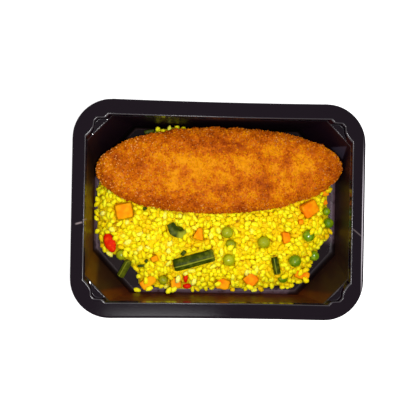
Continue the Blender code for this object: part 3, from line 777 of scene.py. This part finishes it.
def crust_finish(settings, name, tint_share):
    """Fried crumb: golden middle, browner towards the rim, speckled all over, with painted glints
    on some crumbs.
    """
    finish = Finish(name, {"Specular IOR Level": 0.035, "Roughness": 0.5})
    rim = finish.attribute("rim")
    patches = finish.noise(12, 4, 13, 0.6)
    small = finish.noise(4.5, 3, 50)
    speck = finish.noise(1.3, 2, 90)
    depth = (patches - 0.5) * 1.2 + (small - 0.5) * 1.3 + (speck - 0.5) * 1.1 + rim * 0.26
    depth = depth + finish.attribute("toast") + 0.38
    if tint_share:
        tint = finish.attribute("tint")
        depth = depth + (tint - 0.5) * tint_share
    colour = finish.ramp(
        depth, (0.0, settings.golden), (0.42, settings.brown), (1.0, settings.dark))
    # Painted glints: pale peach on some crumbs, most at the rim and the left end
    if tint_share:
        left = 1 - finish.axis(0).rise(-70, 0)
        glint = tint.rise(0.76, 0.82) * (rim.rise(0.1, 0.6) * 0.4 + left * 0.6 + 0.15)
        colour = finish.mix(glint * 0.8, colour, screen(244, 168, 86))
    finish.set({"Base Color": colour})
    finish.bump(finish.noise(0.6, 3), 0.25, 0.6)
    return finish.material


class MEAL_OT_cutlet(bpy.types.Operator):
    """Shape the crumbed cutlet"""

    bl_idname = "meal.cutlet"
    bl_label = "Cutlet"

    def execute(self, context):
        """Make the craggy slab, then scatter crumbs over it."""
        settings = context.scene.meal_cutlet
        shape, rims = cutlet_shape()
        bmesh.ops.recalc_face_normals(shape, faces=shape.faces)
        cutlet = add_piece(
            "cutlet_crust", shape, crust_finish(settings, "crust", 0.0), ["cutlet"])
        store(cutlet.data, "rim", rims)
        store(cutlet.data, "toast", browning(read(cutlet.data.vertices, "co")))
        add_piece("cutlet_crumbs", crumb_mesh(settings, cutlet.data, rims),
                  crust_finish(settings, "crumb", 0.8))
        return {"FINISHED"}


# Vegetables

class VegetableSettings(bpy.types.PropertyGroup):
    """Colours of the vegetables."""

    pea: colour_setting("Pea", "Colour of the pea skins", screen(146, 152, 5))
    green_pea: colour_setting("Green pea", "Colour of the fresher peas", screen(98, 138, 4))
    carrot: colour_setting("Carrot", "Colour of the carrot dice", screen(238, 162, 4))
    bean: colour_setting("Bean", "Colour of the bean skins", screen(44, 56, 3))
    pepper: colour_setting("Red pepper", "Colour of the red pepper", screen(214, 32, 4))


def skin_finish(name, shine, roughness, relief, patches, colours):
    """A moist skin with patches of a second colour; returns the finish and its colour.

    The relief is (size, depth), the patches (size, start, end).
    """
    finish = Finish(name, {"Specular IOR Level": shine, "Roughness": roughness})
    finish.bump(finish.noise(relief[0], 2), relief[1], 0.4)
    colour = finish.mix(finish.noise(patches[0], 3).rise(*patches[1:]), *colours)
    finish.set({"Base Color": colour})
    return finish, colour


def pea_finish(name, colour, shade):
    """Thin shiny skin, mottled, a little paler where it is stretched."""
    pea = [value * shade for value in colour]
    pale = [value * 0.6 + light * 0.4 for value, light in zip(pea, screen(196, 196, 30))]
    finish, _ = skin_finish(name, 0.3, 0.2, (0.8, 0.1), (2.6, 0.4, 0.75), (pea, pale))
    return finish.material


def carrot_finish(settings):
    """Cut carrot: fibres across the faces and a moist surface, redder to the right."""
    finish = Finish("carrot_orange", {"Specular IOR Level": 0.03, "Roughness": 0.55})
    cloud = finish.noise(5, 3)
    deep = cloud.rise(0.35, 0.7) + (finish.axis(0).rise(-40, 40) - 0.5) * 0.7
    finish.set({"Base Color": finish.mix(deep, settings.carrot, screen(232, 122, 3))})
    finish.bump(finish.noise(0.9, 2) + cloud, 0.15, 0.5)
    return finish.material


def green_finish(settings, name):
    """Dark bean or pepper skin with a pale seam and pale cut ends."""
    finish, body = skin_finish(
        name, 0.05, 0.42, (0.7, 0.08), (3.4, 0.42, 0.72), (settings.bean, screen(84, 92, 10)))
    finish.set({"Base Color": finish.mix(
        finish.attribute("pale"), body, screen(160, 164, 44))})
    return finish.material


def pepper_finish(settings):
    """Shiny red pepper flesh with lighter patches."""
    finish, _ = skin_finish(
        "pepper_red", 0.06, 0.28, (0.8, 0.1), (2.8, 0.5, 0.8),
        (settings.pepper, screen(236, 84, 6)))
    return finish.material


def nodes_named(start):
    """Names of the CAD nodes that begin with the given word."""
    return sorted(name for name in frame["nodes"] if name.startswith(start))


def dress_nodes(start, ending, material, slot, *softening):
    """A softened copy over each node of a kind; returns the pieces."""
    return [
        add_piece(f"{node}_{ending}", refined_copy(node, *softening), material, [node])
        for node in nodes_named(start)]


class MEAL_OT_peas(bpy.types.Operator):
    """Set the peas into the rice"""

    bl_idname = "meal.peas"
    bl_label = "Peas"

    def execute(self, context):
        """A ball per pea, dimpled and slightly flattened, where its solid is."""
        settings = context.scene.meal_vegetables
        kinds = ((settings.pea, 1.0), (settings.pea, 0.8), (settings.pea, 1.2),
                 (settings.green_pea, 1.0), (settings.green_pea, 0.8))
        finishes = [pea_finish(f"pea_green_{number}", *kind)
                    for number, kind in enumerate(kinds, 1)]
        for number, node in enumerate(nodes_named("pea_")):
            low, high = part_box(node)
            centre, half = (low + high) / 2, (high - low) / 2
            shape = bmesh.new()
            bmesh.ops.create_icosphere(shape, subdivisions=5, radius=1.0)
            dimple = Vector((0.5, -0.2, 0.8)).normalized() if number % 3 == 0 else None
            for vertex in shape.verts:
                point = vertex.co.copy()
                seed = Vector((number * 3.1, 0.0, 0.0))
                swell = 1 + 0.035 * noise.noise(point * 1.3 + seed)
                wrinkle = abs(noise.noise(point * 2.4 + seed)) * 0.06
                swell -= max(0.0, 0.05 - wrinkle)
                if dimple:
                    swell -= 0.08 * max(0.0, 1 - (point - dimple).length / 0.45)
                vertex.co = centre + Vector(
                    axis * size for axis, size in zip(point * swell, half))
            kind = number % 3 if centre.x < FRESH_PEAS_FROM else 3 + number % 2
            add_piece(f"{node}_skin", shape, finishes[kind], [node])
        return {"FINISHED"}


class MEAL_OT_carrots(bpy.types.Operator):
    """Set the carrot dice into the rice"""

    bl_idname = "meal.carrots"
    bl_label = "Carrot dice"

    def execute(self, context):
        """Soften each block's edges and roughen its faces."""
        finish = carrot_finish(context.scene.meal_vegetables)
        dress_nodes("carrot_", "dice", finish, "carrot_orange", 3, 0.35 * MM, 3.0 * MM, 1.02)
        return {"FINISHED"}


def bean_shape(start, end, width, height):
    """A cut bean with a ridge for its seam, and how pale each vertex is."""
    start, end = Vector(start) * MM, Vector(end) * MM
    run = end - start
    width, height = width * MM, height * MM
    shape = bmesh.new()
    bmesh.ops.create_cone(
        shape, segments=40, radius1=0.5, radius2=0.5, depth=1.0, cap_ends=True)
    caps = [face for face in shape.faces if len(face.verts) > 4]
    sides = [edge for edge in shape.edges
             if abs(edge.verts[0].co.z - edge.verts[1].co.z) > 0.5]
    bmesh.ops.subdivide_edges(shape, edges=sides, cuts=34, use_grid_fill=True)
    for thickness, depth in ((0.03, 0.0), (0.06, -0.012), (0.16, 0.0), (0.1, 0.006)):
        bmesh.ops.inset_region(
            shape, faces=caps, thickness=thickness, depth=depth, use_even_offset=True)
    turn = run.to_track_quat("X", "Z").to_matrix()
    pales = []
    for vertex in shape.verts:
        share, across, up = vertex.co.z, vertex.co.x, vertex.co.y
        radius = math.hypot(across, up) * 2
        angle = math.atan2(across, up)
        seam = math.exp(-((angle + 0.3) / 0.06) ** 2)
        swell = 1 + 0.035 * seam * radius + 0.02 * math.cos(5 * angle) * radius
        swell += 0.05 * noise.noise(Vector((share * 5, across * 2, up * 2))) * radius
        swell -= 0.22 * max(0.0, (abs(share) - 0.42) / 0.08) ** 2
        slant = -math.copysign(0.35 * up * width, share) if abs(share) > 0.49 else 0.0
        arch = 0.06 * (1 - (2 * share) ** 2) * height
        place = Vector((
            share * run.length * 0.98 + slant, across * width * swell,
            up * height * swell + arch))
        vertex.co = (start + end) / 2 + turn @ place
        cut_end = 1.0 if abs(share) > 0.49 and radius < 0.9 else 0.0
        fading = 0.35 * max(0.0, (share - 0.38) / 0.12)
        pales.append(max(seam * 0.8 if abs(share) < 0.49 else 0.0, cut_end * 0.75, fading))
    bmesh.ops.recalc_face_normals(shape, faces=shape.faces)
    return shape, pales


class MEAL_OT_beans(bpy.types.Operator):
    """Lay the cut green beans"""

    bl_idname = "meal.beans"
    bl_label = "Green beans"

    def execute(self, context):
        """A ribbed bar per bean, cut at a slant at both ends."""
        finish = green_finish(context.scene.meal_vegetables, "bean_green")
        for node, (start, end, width, height) in BEANS.items():
            shape, pales = bean_shape(start, end, width, height)
            bean = add_piece(f"{node}_pod", shape, finish, [node])
            if node == "bean_left":
                pales = [0.1 + 0.9 * pale for pale in pales]
            store(bean.data, "pale", pales)
        return {"FINISHED"}


class MEAL_OT_peppers(bpy.types.Operator):
    """Lay the red pepper slices"""

    bl_idname = "meal.peppers"
    bl_label = "Red pepper"

    def execute(self, context):
        """Round each slice and wrinkle its skin."""
        finish = pepper_finish(context.scene.meal_vegetables)
        dress_nodes("red_pepper_", "slice", finish, "pepper_red", 2, 0.3 * MM, 2.4 * MM, 1.06)
        return {"FINISHED"}


class MEAL_OT_greens(bpy.types.Operator):
    """Lay the folded green pepper and the small green cuts"""

    bl_idname = "meal.greens"
    bl_label = "Green cuts"

    def execute(self, context):
        """Fold a strip of pepper, and round the small cuts."""
        finish = green_finish(context.scene.meal_vegetables, "pepper_green")
        for bit in dress_nodes(
                "green_bit_", "cut", finish, "bean_green", 2, 0.15 * MM, 1.5 * MM):
            store(bit.data, "pale", [0.3 * noise.noise(vertex.co / MM) ** 2
                                     for vertex in bit.data.vertices])
        shape, pales = folded_strip()
        strip = add_piece("green_pepper_strip", shape, finish, ["green_pepper"])
        store(strip.data, "pale", pales)
        skin = strip.modifiers.new("flesh", "SOLIDIFY")
        skin.thickness = 1.3 * MM
        skin.offset = 0.0
        soft = strip.modifiers.new("soft", "SUBSURF")
        soft.levels = soft.render_levels = 2
        return {"FINISHED"}


def folded_strip():
    """A strip of pepper bent to a V in plan, its right arm turned up to show its flesh."""
    low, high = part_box("green_pepper")
    centre = (low + high) / 2
    left = centre + Vector((-3.9, 4.6, 2.0)) * MM
    fold = centre + Vector((0.9, -4.2, 1.6)) * MM
    right = centre + Vector((5.8, 0.6, 2.6)) * MM
    shape = bmesh.new()
    bmesh.ops.create_grid(shape, x_segments=18, y_segments=8, size=1.0)
    pales = []
    for vertex in shape.verts:
        u, v = vertex.co.x, vertex.co.y
        share = (u + 1) / 2
        spine = left.lerp(fold, share).lerp(fold.lerp(right, share), share)
        heading = (fold - left).lerp(right - fold, share).normalized()
        across = Vector((-heading.y, heading.x, 0.0)).normalized()
        half = (3.9 + 0.8 * u - 0.8 * u * u + 0.4 * math.sin(7 * u + 2 * v)) * MM
        tilt = 0.15 + 0.85 * max(0.0, u)
        side = across * math.cos(tilt) + Vector((0.0, 0.0, 1.0)) * math.sin(tilt)
        curl = Vector((0.0, 0.0, 0.8 * MM)) * (v * v - 0.4)
        vertex.co = spine + side * half * v + curl
        pales.append(0.85 * max(0.0, min(1.0, 3 * u)) * max(0.0, min(1.0, 0.9 - 2 * v)))
    return shape, pales


# Rice

class RiceSettings(bpy.types.PropertyGroup):
    """Sizes and colours of the rice."""

    grain_length: length_setting("Grain length", "Mean length of a grain", 5.4, 2.0, 12.0)
    grain_width: length_setting("Grain width", "Mean width of a grain", 3.5, 1.0, 5.0)
    sink: length_setting("Sink", "How far a grain presses into those below", 1.15, 0.0, 2.0)
    grains: IntProperty(
        name="Grains", description="Most grains that the heap may take", default=4200,
        min=10, max=8000)
    colour: colour_setting("Rice", "Colour of the ordinary grains", (0.94, 0.76, 0.004))


def soft_rice(name, shine, roughness, weight):
    """A finish that lets light through as cooked rice does."""
    return Finish(name, {
        "Specular IOR Level": shine, "Roughness": roughness, "Subsurface Weight": weight,
        "Subsurface Radius": (1.0, 0.8, 0.05), "Subsurface Scale": 2.0 * MM})


def rice_finish(settings):
    """Moist stained grains, each with its own tint, deeper to the right."""
    finish = soft_rice("yellow_rice", 0.04, 0.3, 0.6)
    shade = finish.attribute("tint") + (finish.noise(24, 2, 20) - 0.5) * 0.3
    shade = shade - finish.axis(0).rise(10, 60) * 0.16
    finish.set({"Base Color": finish.ramp(
        shade, (0.0, (0.84, 0.52, 0.003)), (0.4, settings.colour),
        (0.8, (0.97, 0.86, 0.02)), (1.0, (0.97, 0.90, 0.22)))})
    finish.bump(finish.noise(1.3, 2), 0.3, 0.6)
    return finish.material


def core_finish():
    """The mash of grains seen through the gaps, with dark brown patches of painted shade."""
    finish = soft_rice("rice_core", 0.03, 0.6, 0.7)
    # Painted shade: dark brown patches stand for the dark holes between the grains
    finish.set({"Base Color": finish.mix(
        finish.noise(2.6, 2).rise(0.3, 0.5), (0.36, 0.17, 0.002), (0.86, 0.64, 0.004))})
    finish.bump(finish.noise(2.0, 2), 0.6, 0.8)
    return finish.material


class Field:
    """Height maps over the tray, one number per half millimetre."""

    pitch = 0.5 * MM
    columns, rows = 364, 256

    def __init__(self, others, cutlet, tray):
        self.x = (np.arange(self.columns) - (self.columns - 1) / 2) * self.pitch
        self.y = (np.arange(self.rows) - (self.rows - 1) / 2) * self.pitch
        heap = self.cast(tree_of(frame["nodes"]["rice_heap"]), True)
        self.plan = np.isfinite(heap)
        self.veg = self.cast(tree_of(*others), True)
        self.ceiling = self.cast(tree_of(cutlet), False)
        self.target = self.smooth(heap, 5)
        self.slope = np.gradient(self.smooth(heap, 8), self.pitch)
        self.slope = [np.clip(np.nan_to_num(side), -0.9, 0.9) for side in self.slope]
        depth = np.array([[self.bed_depth(x, y) for y in self.y] for x in self.x])
        core = np.where(self.plan, self.target - depth, WALL)
        self.core = np.maximum(core, WALL + 0.2 * MM)
        self.height = np.where(self.plan, self.core, WALL)
        self.height = np.fmax(self.height, self.cast(tree_of(tray), True))
        self.height = np.fmax(self.height, self.veg)

    @staticmethod
    def bed_depth(x, y):
        """How deep the bed of mashed grains lies under the surface, deeper in the pits."""
        place = Vector((x, y, 0.0))
        lump = noise.noise(place / BED_LUMP_SIZE)
        pit = noise.noise(place / BED_PIT_SIZE) - 0.15
        return BED_DEPTH + BED_LUMP * lump + BED_PIT_DEPTH * max(0.0, pit)

    def cast(self, tree, down):
        """Height of the first surface met from above or from below; nan where there is none."""
        heights = np.full((self.columns, self.rows), np.nan)
        way = Vector((0.0, 0.0, -1.0 if down else 1.0))
        start = 0.1 if down else 0.0
        for column, x in enumerate(self.x):
            for row, y in enumerate(self.y):
                hit = tree.ray_cast(Vector((x, y, start)), way)[0]
                if hit:
                    heights[column, row] = hit.z
        return heights

    def smooth(self, heights, passes):
        """Heights averaged over the neighbourhood, within the heap's plan only."""
        known = np.isfinite(heights)
        total = np.where(known, heights, 0.0)
        weight = known.astype(float)
        for _ in range(passes):
            for axis in (0, 1):
                total = total + np.roll(total, 1, axis) + np.roll(total, -1, axis)
                weight = weight + np.roll(weight, 1, axis) + np.roll(weight, -1, axis)
        with np.errstate(invalid="ignore", divide="ignore"):
            return np.where(known, total / weight, np.nan)

    def window(self, x, y, reach):
        """Slices of the maps around a place."""
        column = int(round(x / self.pitch + (self.columns - 1) / 2))
        row = int(round(y / self.pitch + (self.rows - 1) / 2))
        return (slice(max(0, column - reach), column + reach + 1),
                slice(max(0, row - reach), row + reach + 1))

    def settle(self, x, y, turn, half, slope, sink):
        """Height at which a grain comes to rest, with its window and its upper side."""
        window = self.window(x, y, int(half[0] / self.pitch) + 1)
        across_x = self.x[window[0]][:, None] - x
        across_y = self.y[window[1]][None, :] - y
        u = across_x * math.cos(turn) + across_y * math.sin(turn)
        v = across_y * math.cos(turn) - across_x * math.sin(turn)
        inside = 1 - (u / half[0]) ** 2 - (v / half[1]) ** 2
        dome = half[2] * np.sqrt(np.maximum(inside, 0.0))
        plane = slope[0] * across_x + slope[1] * across_y
        inside = inside > 0
        rest = np.where(inside, self.height[window] - plane + dome, -1.0).max() - sink
        lowest = np.where(inside, dome - plane, 0.0).max() + WALL + 0.1 * MM
        rest = max(rest, lowest)
        return rest, window, inside, rest + plane + dome

    def lay(self, window, inside, upper):
        """Raise the map to a grain's upper side."""
        self.height[window] = np.where(
            inside, np.maximum(self.height[window], upper), self.height[window])


def fill_heap(settings, field):
    """Drop grains into the lowest hollows until the heap's surface is reached."""
    draw = random.Random(HEAP_SEED)
    jitter = np.random.default_rng(JITTER_SEED).uniform(0, GRAIN_JITTER, field.height.shape)
    top = field.target + GRAIN_COVER
    hidden = field.ceiling < CUTLET_CENTRE.z - GRAIN_REACH
    open_cells = field.plan & ~hidden & ~(field.veg > field.target - 1.0 * MM)
    lack = np.where(open_cells, top - field.height + jitter, -1.0)
    grains = []
    for _ in range(settings.grains * 3):
        if len(grains) >= settings.grains:
            break
        column, row = divmod(int(lack.argmax()), field.rows)
        if lack[column, row] < GRAIN_HOLLOW:
            break
        x, y = field.x[column], field.y[row]
        broken = draw.random() < BROKEN_SHARE
        half = [settings.grain_length / 2 * draw.uniform(0.8, 1.15) * (0.7 if broken else 1),
                settings.grain_width / 2 * draw.uniform(0.78, 1.15), 0.0]
        half[2] = half[1] * draw.uniform(0.82, 0.98)
        slope = [side[column, row] * 0.85 + draw.uniform(-0.6, 0.6) for side in field.slope]
        best = None
        for _ in range(TURNS_TRIED):
            turn = draw.uniform(0, math.pi)
            found = field.settle(x, y, turn, half, slope, settings.sink)
            if best is None or found[0] < best[1][0]:
                best = (turn, found)
        turn, (rest, window, inside, upper) = best
        near_cutlet = (field.ceiling[window] - GRAIN_GAP < upper) & inside
        if rest + half[2] > field.target[column, row] + GRAIN_STAND or near_cutlet.any():
            lack[field.window(x, y, 1)] = -1.0
            continue
        field.lay(window, inside, upper)
        gap = top[window] - field.height[window] + jitter[window]
        lack[window] = np.where(inside & (lack[window] > -0.5), gap, lack[window])
        lack[column, row] = -1.0
        grains.append((x, y, rest, turn, half, slope, min(0.88, max(0.0, draw.gauss(0.5, 0.26)))))
    return grains


def lay_top_grains(settings, field):
    """The grains over vegetables and on the floor, from their table."""
    draw = random.Random(TOP_SEED)
    grains = []
    for x, y, turn, pale in TOP_GRAINS:
        half = [settings.grain_length / 2 * draw.uniform(0.92, 1.05),
                settings.grain_width / 2 * draw.uniform(0.95, 1.1), 0.0]
        half[2] = half[1] * 0.9
        x, y, turn = x * MM, y * MM, math.radians(turn)
        rest, window, inside, upper = field.settle(
            x, y, turn, half, (0.0, 0.0), settings.sink * 0.5)
        field.lay(window, inside, upper)
        grains.append((x, y, rest, turn, half, (0.0, 0.0), pale))
    return grains


def grain_mesh(name, grains):
    """All grains as one mesh, each plump, a little bent and thinner at one end."""
    draw = np.random.default_rng(GRAIN_SEED)
    corners, faces = template(
        bmesh.ops.create_uvsphere, u_segments=8, v_segments=6, radius=1.0)
    corners = corners[:, [2, 0, 1]]
    count = len(grains)
    halves = np.array([grain[4] for grain in grains])
    bend = draw.uniform(-0.35, 0.35, (count, 1))
    taper = draw.uniform(-0.22, 0.22, (count, 1))
    body = np.repeat(corners[None], count, 0)
    body[..., 1:] *= (1 + taper * body[..., 0])[..., None]
    body[..., 1] += bend * (body[..., 0] ** 2 - 0.4)
    body *= draw.uniform(0.84, 1.1, (count, len(corners), 1))
    body *= halves[:, None]
    turns = np.array([grain[3] for grain in grains])
    slopes = np.array([grain[5] for grain in grains])
    along = np.stack([
        np.cos(turns), np.sin(turns),
        slopes[:, 0] * np.cos(turns) + slopes[:, 1] * np.sin(turns)], 1)
    up = np.stack([-slopes[:, 0], -slopes[:, 1], np.ones(count)], 1)
    along /= np.linalg.norm(along, axis=1)[:, None]
    up /= np.linalg.norm(up, axis=1)[:, None]
    side = np.cross(up, along)
    axes = np.stack([along, side, up], 1)
    centres = np.array([grain[:3] for grain in grains])
    mesh = joined_copies(name, np.einsum("nvi,nij->nvj", body, axes) + centres[:, None], faces)
    store(mesh, "tint", np.repeat([grain[6] for grain in grains], len(corners)))
    return mesh


def core_shape(field):
    """A closed low heap under the grains."""
    shape = bmesh.new()
    bmesh.ops.create_grid(
        shape, x_segments=field.columns // 2 - 1, y_segments=field.rows // 2 - 1, size=1.0)
    ordered = sorted(shape.verts, key=lambda vertex: (round(vertex.co.x, 5), vertex.co.y))
    outside = []
    for number, vertex in enumerate(ordered):
        column, row = divmod(number, field.rows // 2)
        column, row = column * 2, row * 2
        if not field.plan[column, row]:
            outside.append(vertex)
        vertex.co = (field.x[column], field.y[row], field.core[column, row] - 0.25 * MM)
    bmesh.ops.delete(shape, geom=outside, context="VERTS")
    made = bmesh.ops.extrude_face_region(shape, geom=shape.faces[:])["geom"]
    for item in made:
        if isinstance(item, bmesh.types.BMVert):
            item.co.z = WALL + 0.05 * MM
    bmesh.ops.delete(
        shape, geom=[vertex for vertex in shape.verts if not vertex.link_faces],
        context="VERTS")
    bmesh.ops.recalc_face_normals(shape, faces=shape.faces)
    put_in_order(shape)
    return shape


class MEAL_OT_rice(bpy.types.Operator):
    """Heap the rice round the cutlet and the vegetables"""

    bl_idname = "meal.rice"
    bl_label = "Rice"

    def execute(self, context):
        """Fill the heap grain by grain over a plain core."""
        settings = context.scene.meal_rice
        objects = bpy.data.objects
        others = [piece for piece in objects if piece.name.startswith(
            ("pea_", "carrot_", "bean_", "red_pepper_", "green_")) and "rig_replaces" in piece]
        field = Field(others, objects["cutlet_crust"], objects["tray_shell"])
        add_piece("rice_core", core_shape(field), core_finish(), ["rice_heap"])
        grains = fill_heap(settings, field) + lay_top_grains(settings, field)
        finish = rice_finish(settings)
        grains.sort(key=lambda grain: grain[0])
        middle = len(grains) // 2
        for name, part in (("rice_left", grains[:middle]), ("rice_right", grains[middle:])):
            add_piece(name, grain_mesh(name, part), finish)
        return {"FINISHED"}


# Stage

class StageSettings(bpy.types.PropertyGroup):
    """Camera and light."""

    lens: FloatProperty(
        name="Lens", description="Focal length on a 36 mm sensor", default=76.41,
        min=10.0, max=300.0, unit="CAMERA")
    key_power: FloatProperty(
        name="Key light", description="Power of the light over the meal", default=2.7,
        min=0.0, max=100.0, unit="POWER")
    key_size: FloatProperty(
        name="Key size", description="Diameter of the light over the meal", default=0.06,
        min=0.01, max=2.0, unit="LENGTH")
    streak_power: FloatProperty(
        name="Streak light", description="Power of the strip mirrored in the front flange",
        default=0.045, min=0.0, max=10.0, unit="POWER")
    sky: FloatProperty(
        name="Sky", description="Brightness of the light from all round", default=0.6,
        min=0.0, max=5.0)
    floor_colour: FloatVectorProperty(
        name="Floor", description="Colour of the floor", subtype="COLOR", size=4,
        default=(0.93, 0.93, 0.93, 1.0), min=0.0, max=1.0)


class MEAL_OT_stage(bpy.types.Operator):
    """Set the floor, the lights and the camera"""

    bl_idname = "meal.stage"
    bl_label = "Stage"

    def execute(self, context):
        """Plain pale floor, one soft light beside the camera, light from all round."""
        settings = context.scene.meal_stage
        scene = context.scene
        scene.view_settings.view_transform = "Standard"
        shape = bmesh.new()
        bmesh.ops.create_grid(shape, x_segments=1, y_segments=1, size=3.0)
        mesh = new_mesh("floor", shape)
        finish = Finish("floor", {
            "Base Color": tuple(settings.floor_colour), "Roughness": 0.9,
            "Emission Color": (1.0, 1.0, 1.0, 1.0), "Emission Strength": 0.7})
        mesh.materials.append(finish.material)
        floor = new_object("floor", mesh)

        for name, shape, size, power, place in (
                ("key", "DISK", (settings.key_size,) * 2, settings.key_power, KEY_PLACE),
                ("streak", "ELLIPSE", STREAK_SIZE, settings.streak_power, STREAK_PLACE)):
            lamp = bpy.data.lights.new(name, "AREA")
            lamp.shape = shape
            lamp.size, lamp.size_y = size
            lamp.energy = power
            new_object(name, lamp).location = place

        world = bpy.data.worlds.new("light_all_round")
        world.use_nodes = True
        background = world.node_tree.nodes["Background"]
        background.inputs["Color"].default_value = (1.0, 0.98, 1.0, 1.0)
        background.inputs["Strength"].default_value = settings.sky
        scene.world = world

        lens = bpy.data.cameras.new("camera")
        lens.lens = settings.lens
        lens.sensor_width = 36.0
        camera = new_object("camera", lens)
        camera.location = CAMERA_PLACE
        camera.rotation_euler = [math.radians(turn) for turn in CAMERA_TURN]
        scene.camera = camera
        return {"FINISHED"}


class MEAL_PT_panel(bpy.types.Panel):
    """Lists the pieces of the tray meal"""

    bl_idname = "MEAL_PT_panel"
    bl_label = "Tray meal"
    bl_space_type = "VIEW_3D"
    bl_region_type = "UI"
    bl_category = "Tray meal"

    def draw(self, context):
        """Settings and a button per piece."""
        for name, operators in PANEL_ROWS:
            box = self.layout.box()
            settings = getattr(context.scene, name)
            for key in settings.__annotations__:
                box.prop(settings, key)
            for operator in operators:
                box.operator(operator.bl_idname)


SETTINGS = {
    "meal_tray": TraySettings,
    "meal_cutlet": CutletSettings,
    "meal_vegetables": VegetableSettings,
    "meal_rice": RiceSettings,
    "meal_stage": StageSettings,
}
PANEL_ROWS = (
    ("meal_tray", (MEAL_OT_tray,)),
    ("meal_cutlet", (MEAL_OT_cutlet,)),
    ("meal_vegetables", (
        MEAL_OT_peas, MEAL_OT_carrots, MEAL_OT_beans, MEAL_OT_peppers, MEAL_OT_greens)),
    ("meal_rice", (MEAL_OT_rice,)),
    ("meal_stage", (MEAL_OT_stage,)),
)
CLASSES = (
    *SETTINGS.values(),
    *(operator for _, operators in PANEL_ROWS for operator in operators),
    MEAL_PT_panel,
)


def register():
    """Make the classes and settings known to Blender."""
    for kind in CLASSES:
        bpy.utils.register_class(kind)
    for name, kind in SETTINGS.items():
        setattr(bpy.types.Scene, name, PointerProperty(type=kind))


def unregister():
    """Take the classes and settings away again."""
    for name in SETTINGS:
        delattr(bpy.types.Scene, name)
    for kind in reversed(CLASSES):
        bpy.utils.unregister_class(kind)


def main():
    """Make every piece in order."""
    register()
    bpy.ops.meal.tray()
    bpy.ops.meal.cutlet()
    bpy.ops.meal.peas()
    bpy.ops.meal.carrots()
    bpy.ops.meal.beans()
    bpy.ops.meal.peppers()
    bpy.ops.meal.greens()
    bpy.ops.meal.rice()
    bpy.ops.meal.stage()


if __name__ == "__main__":
    main()
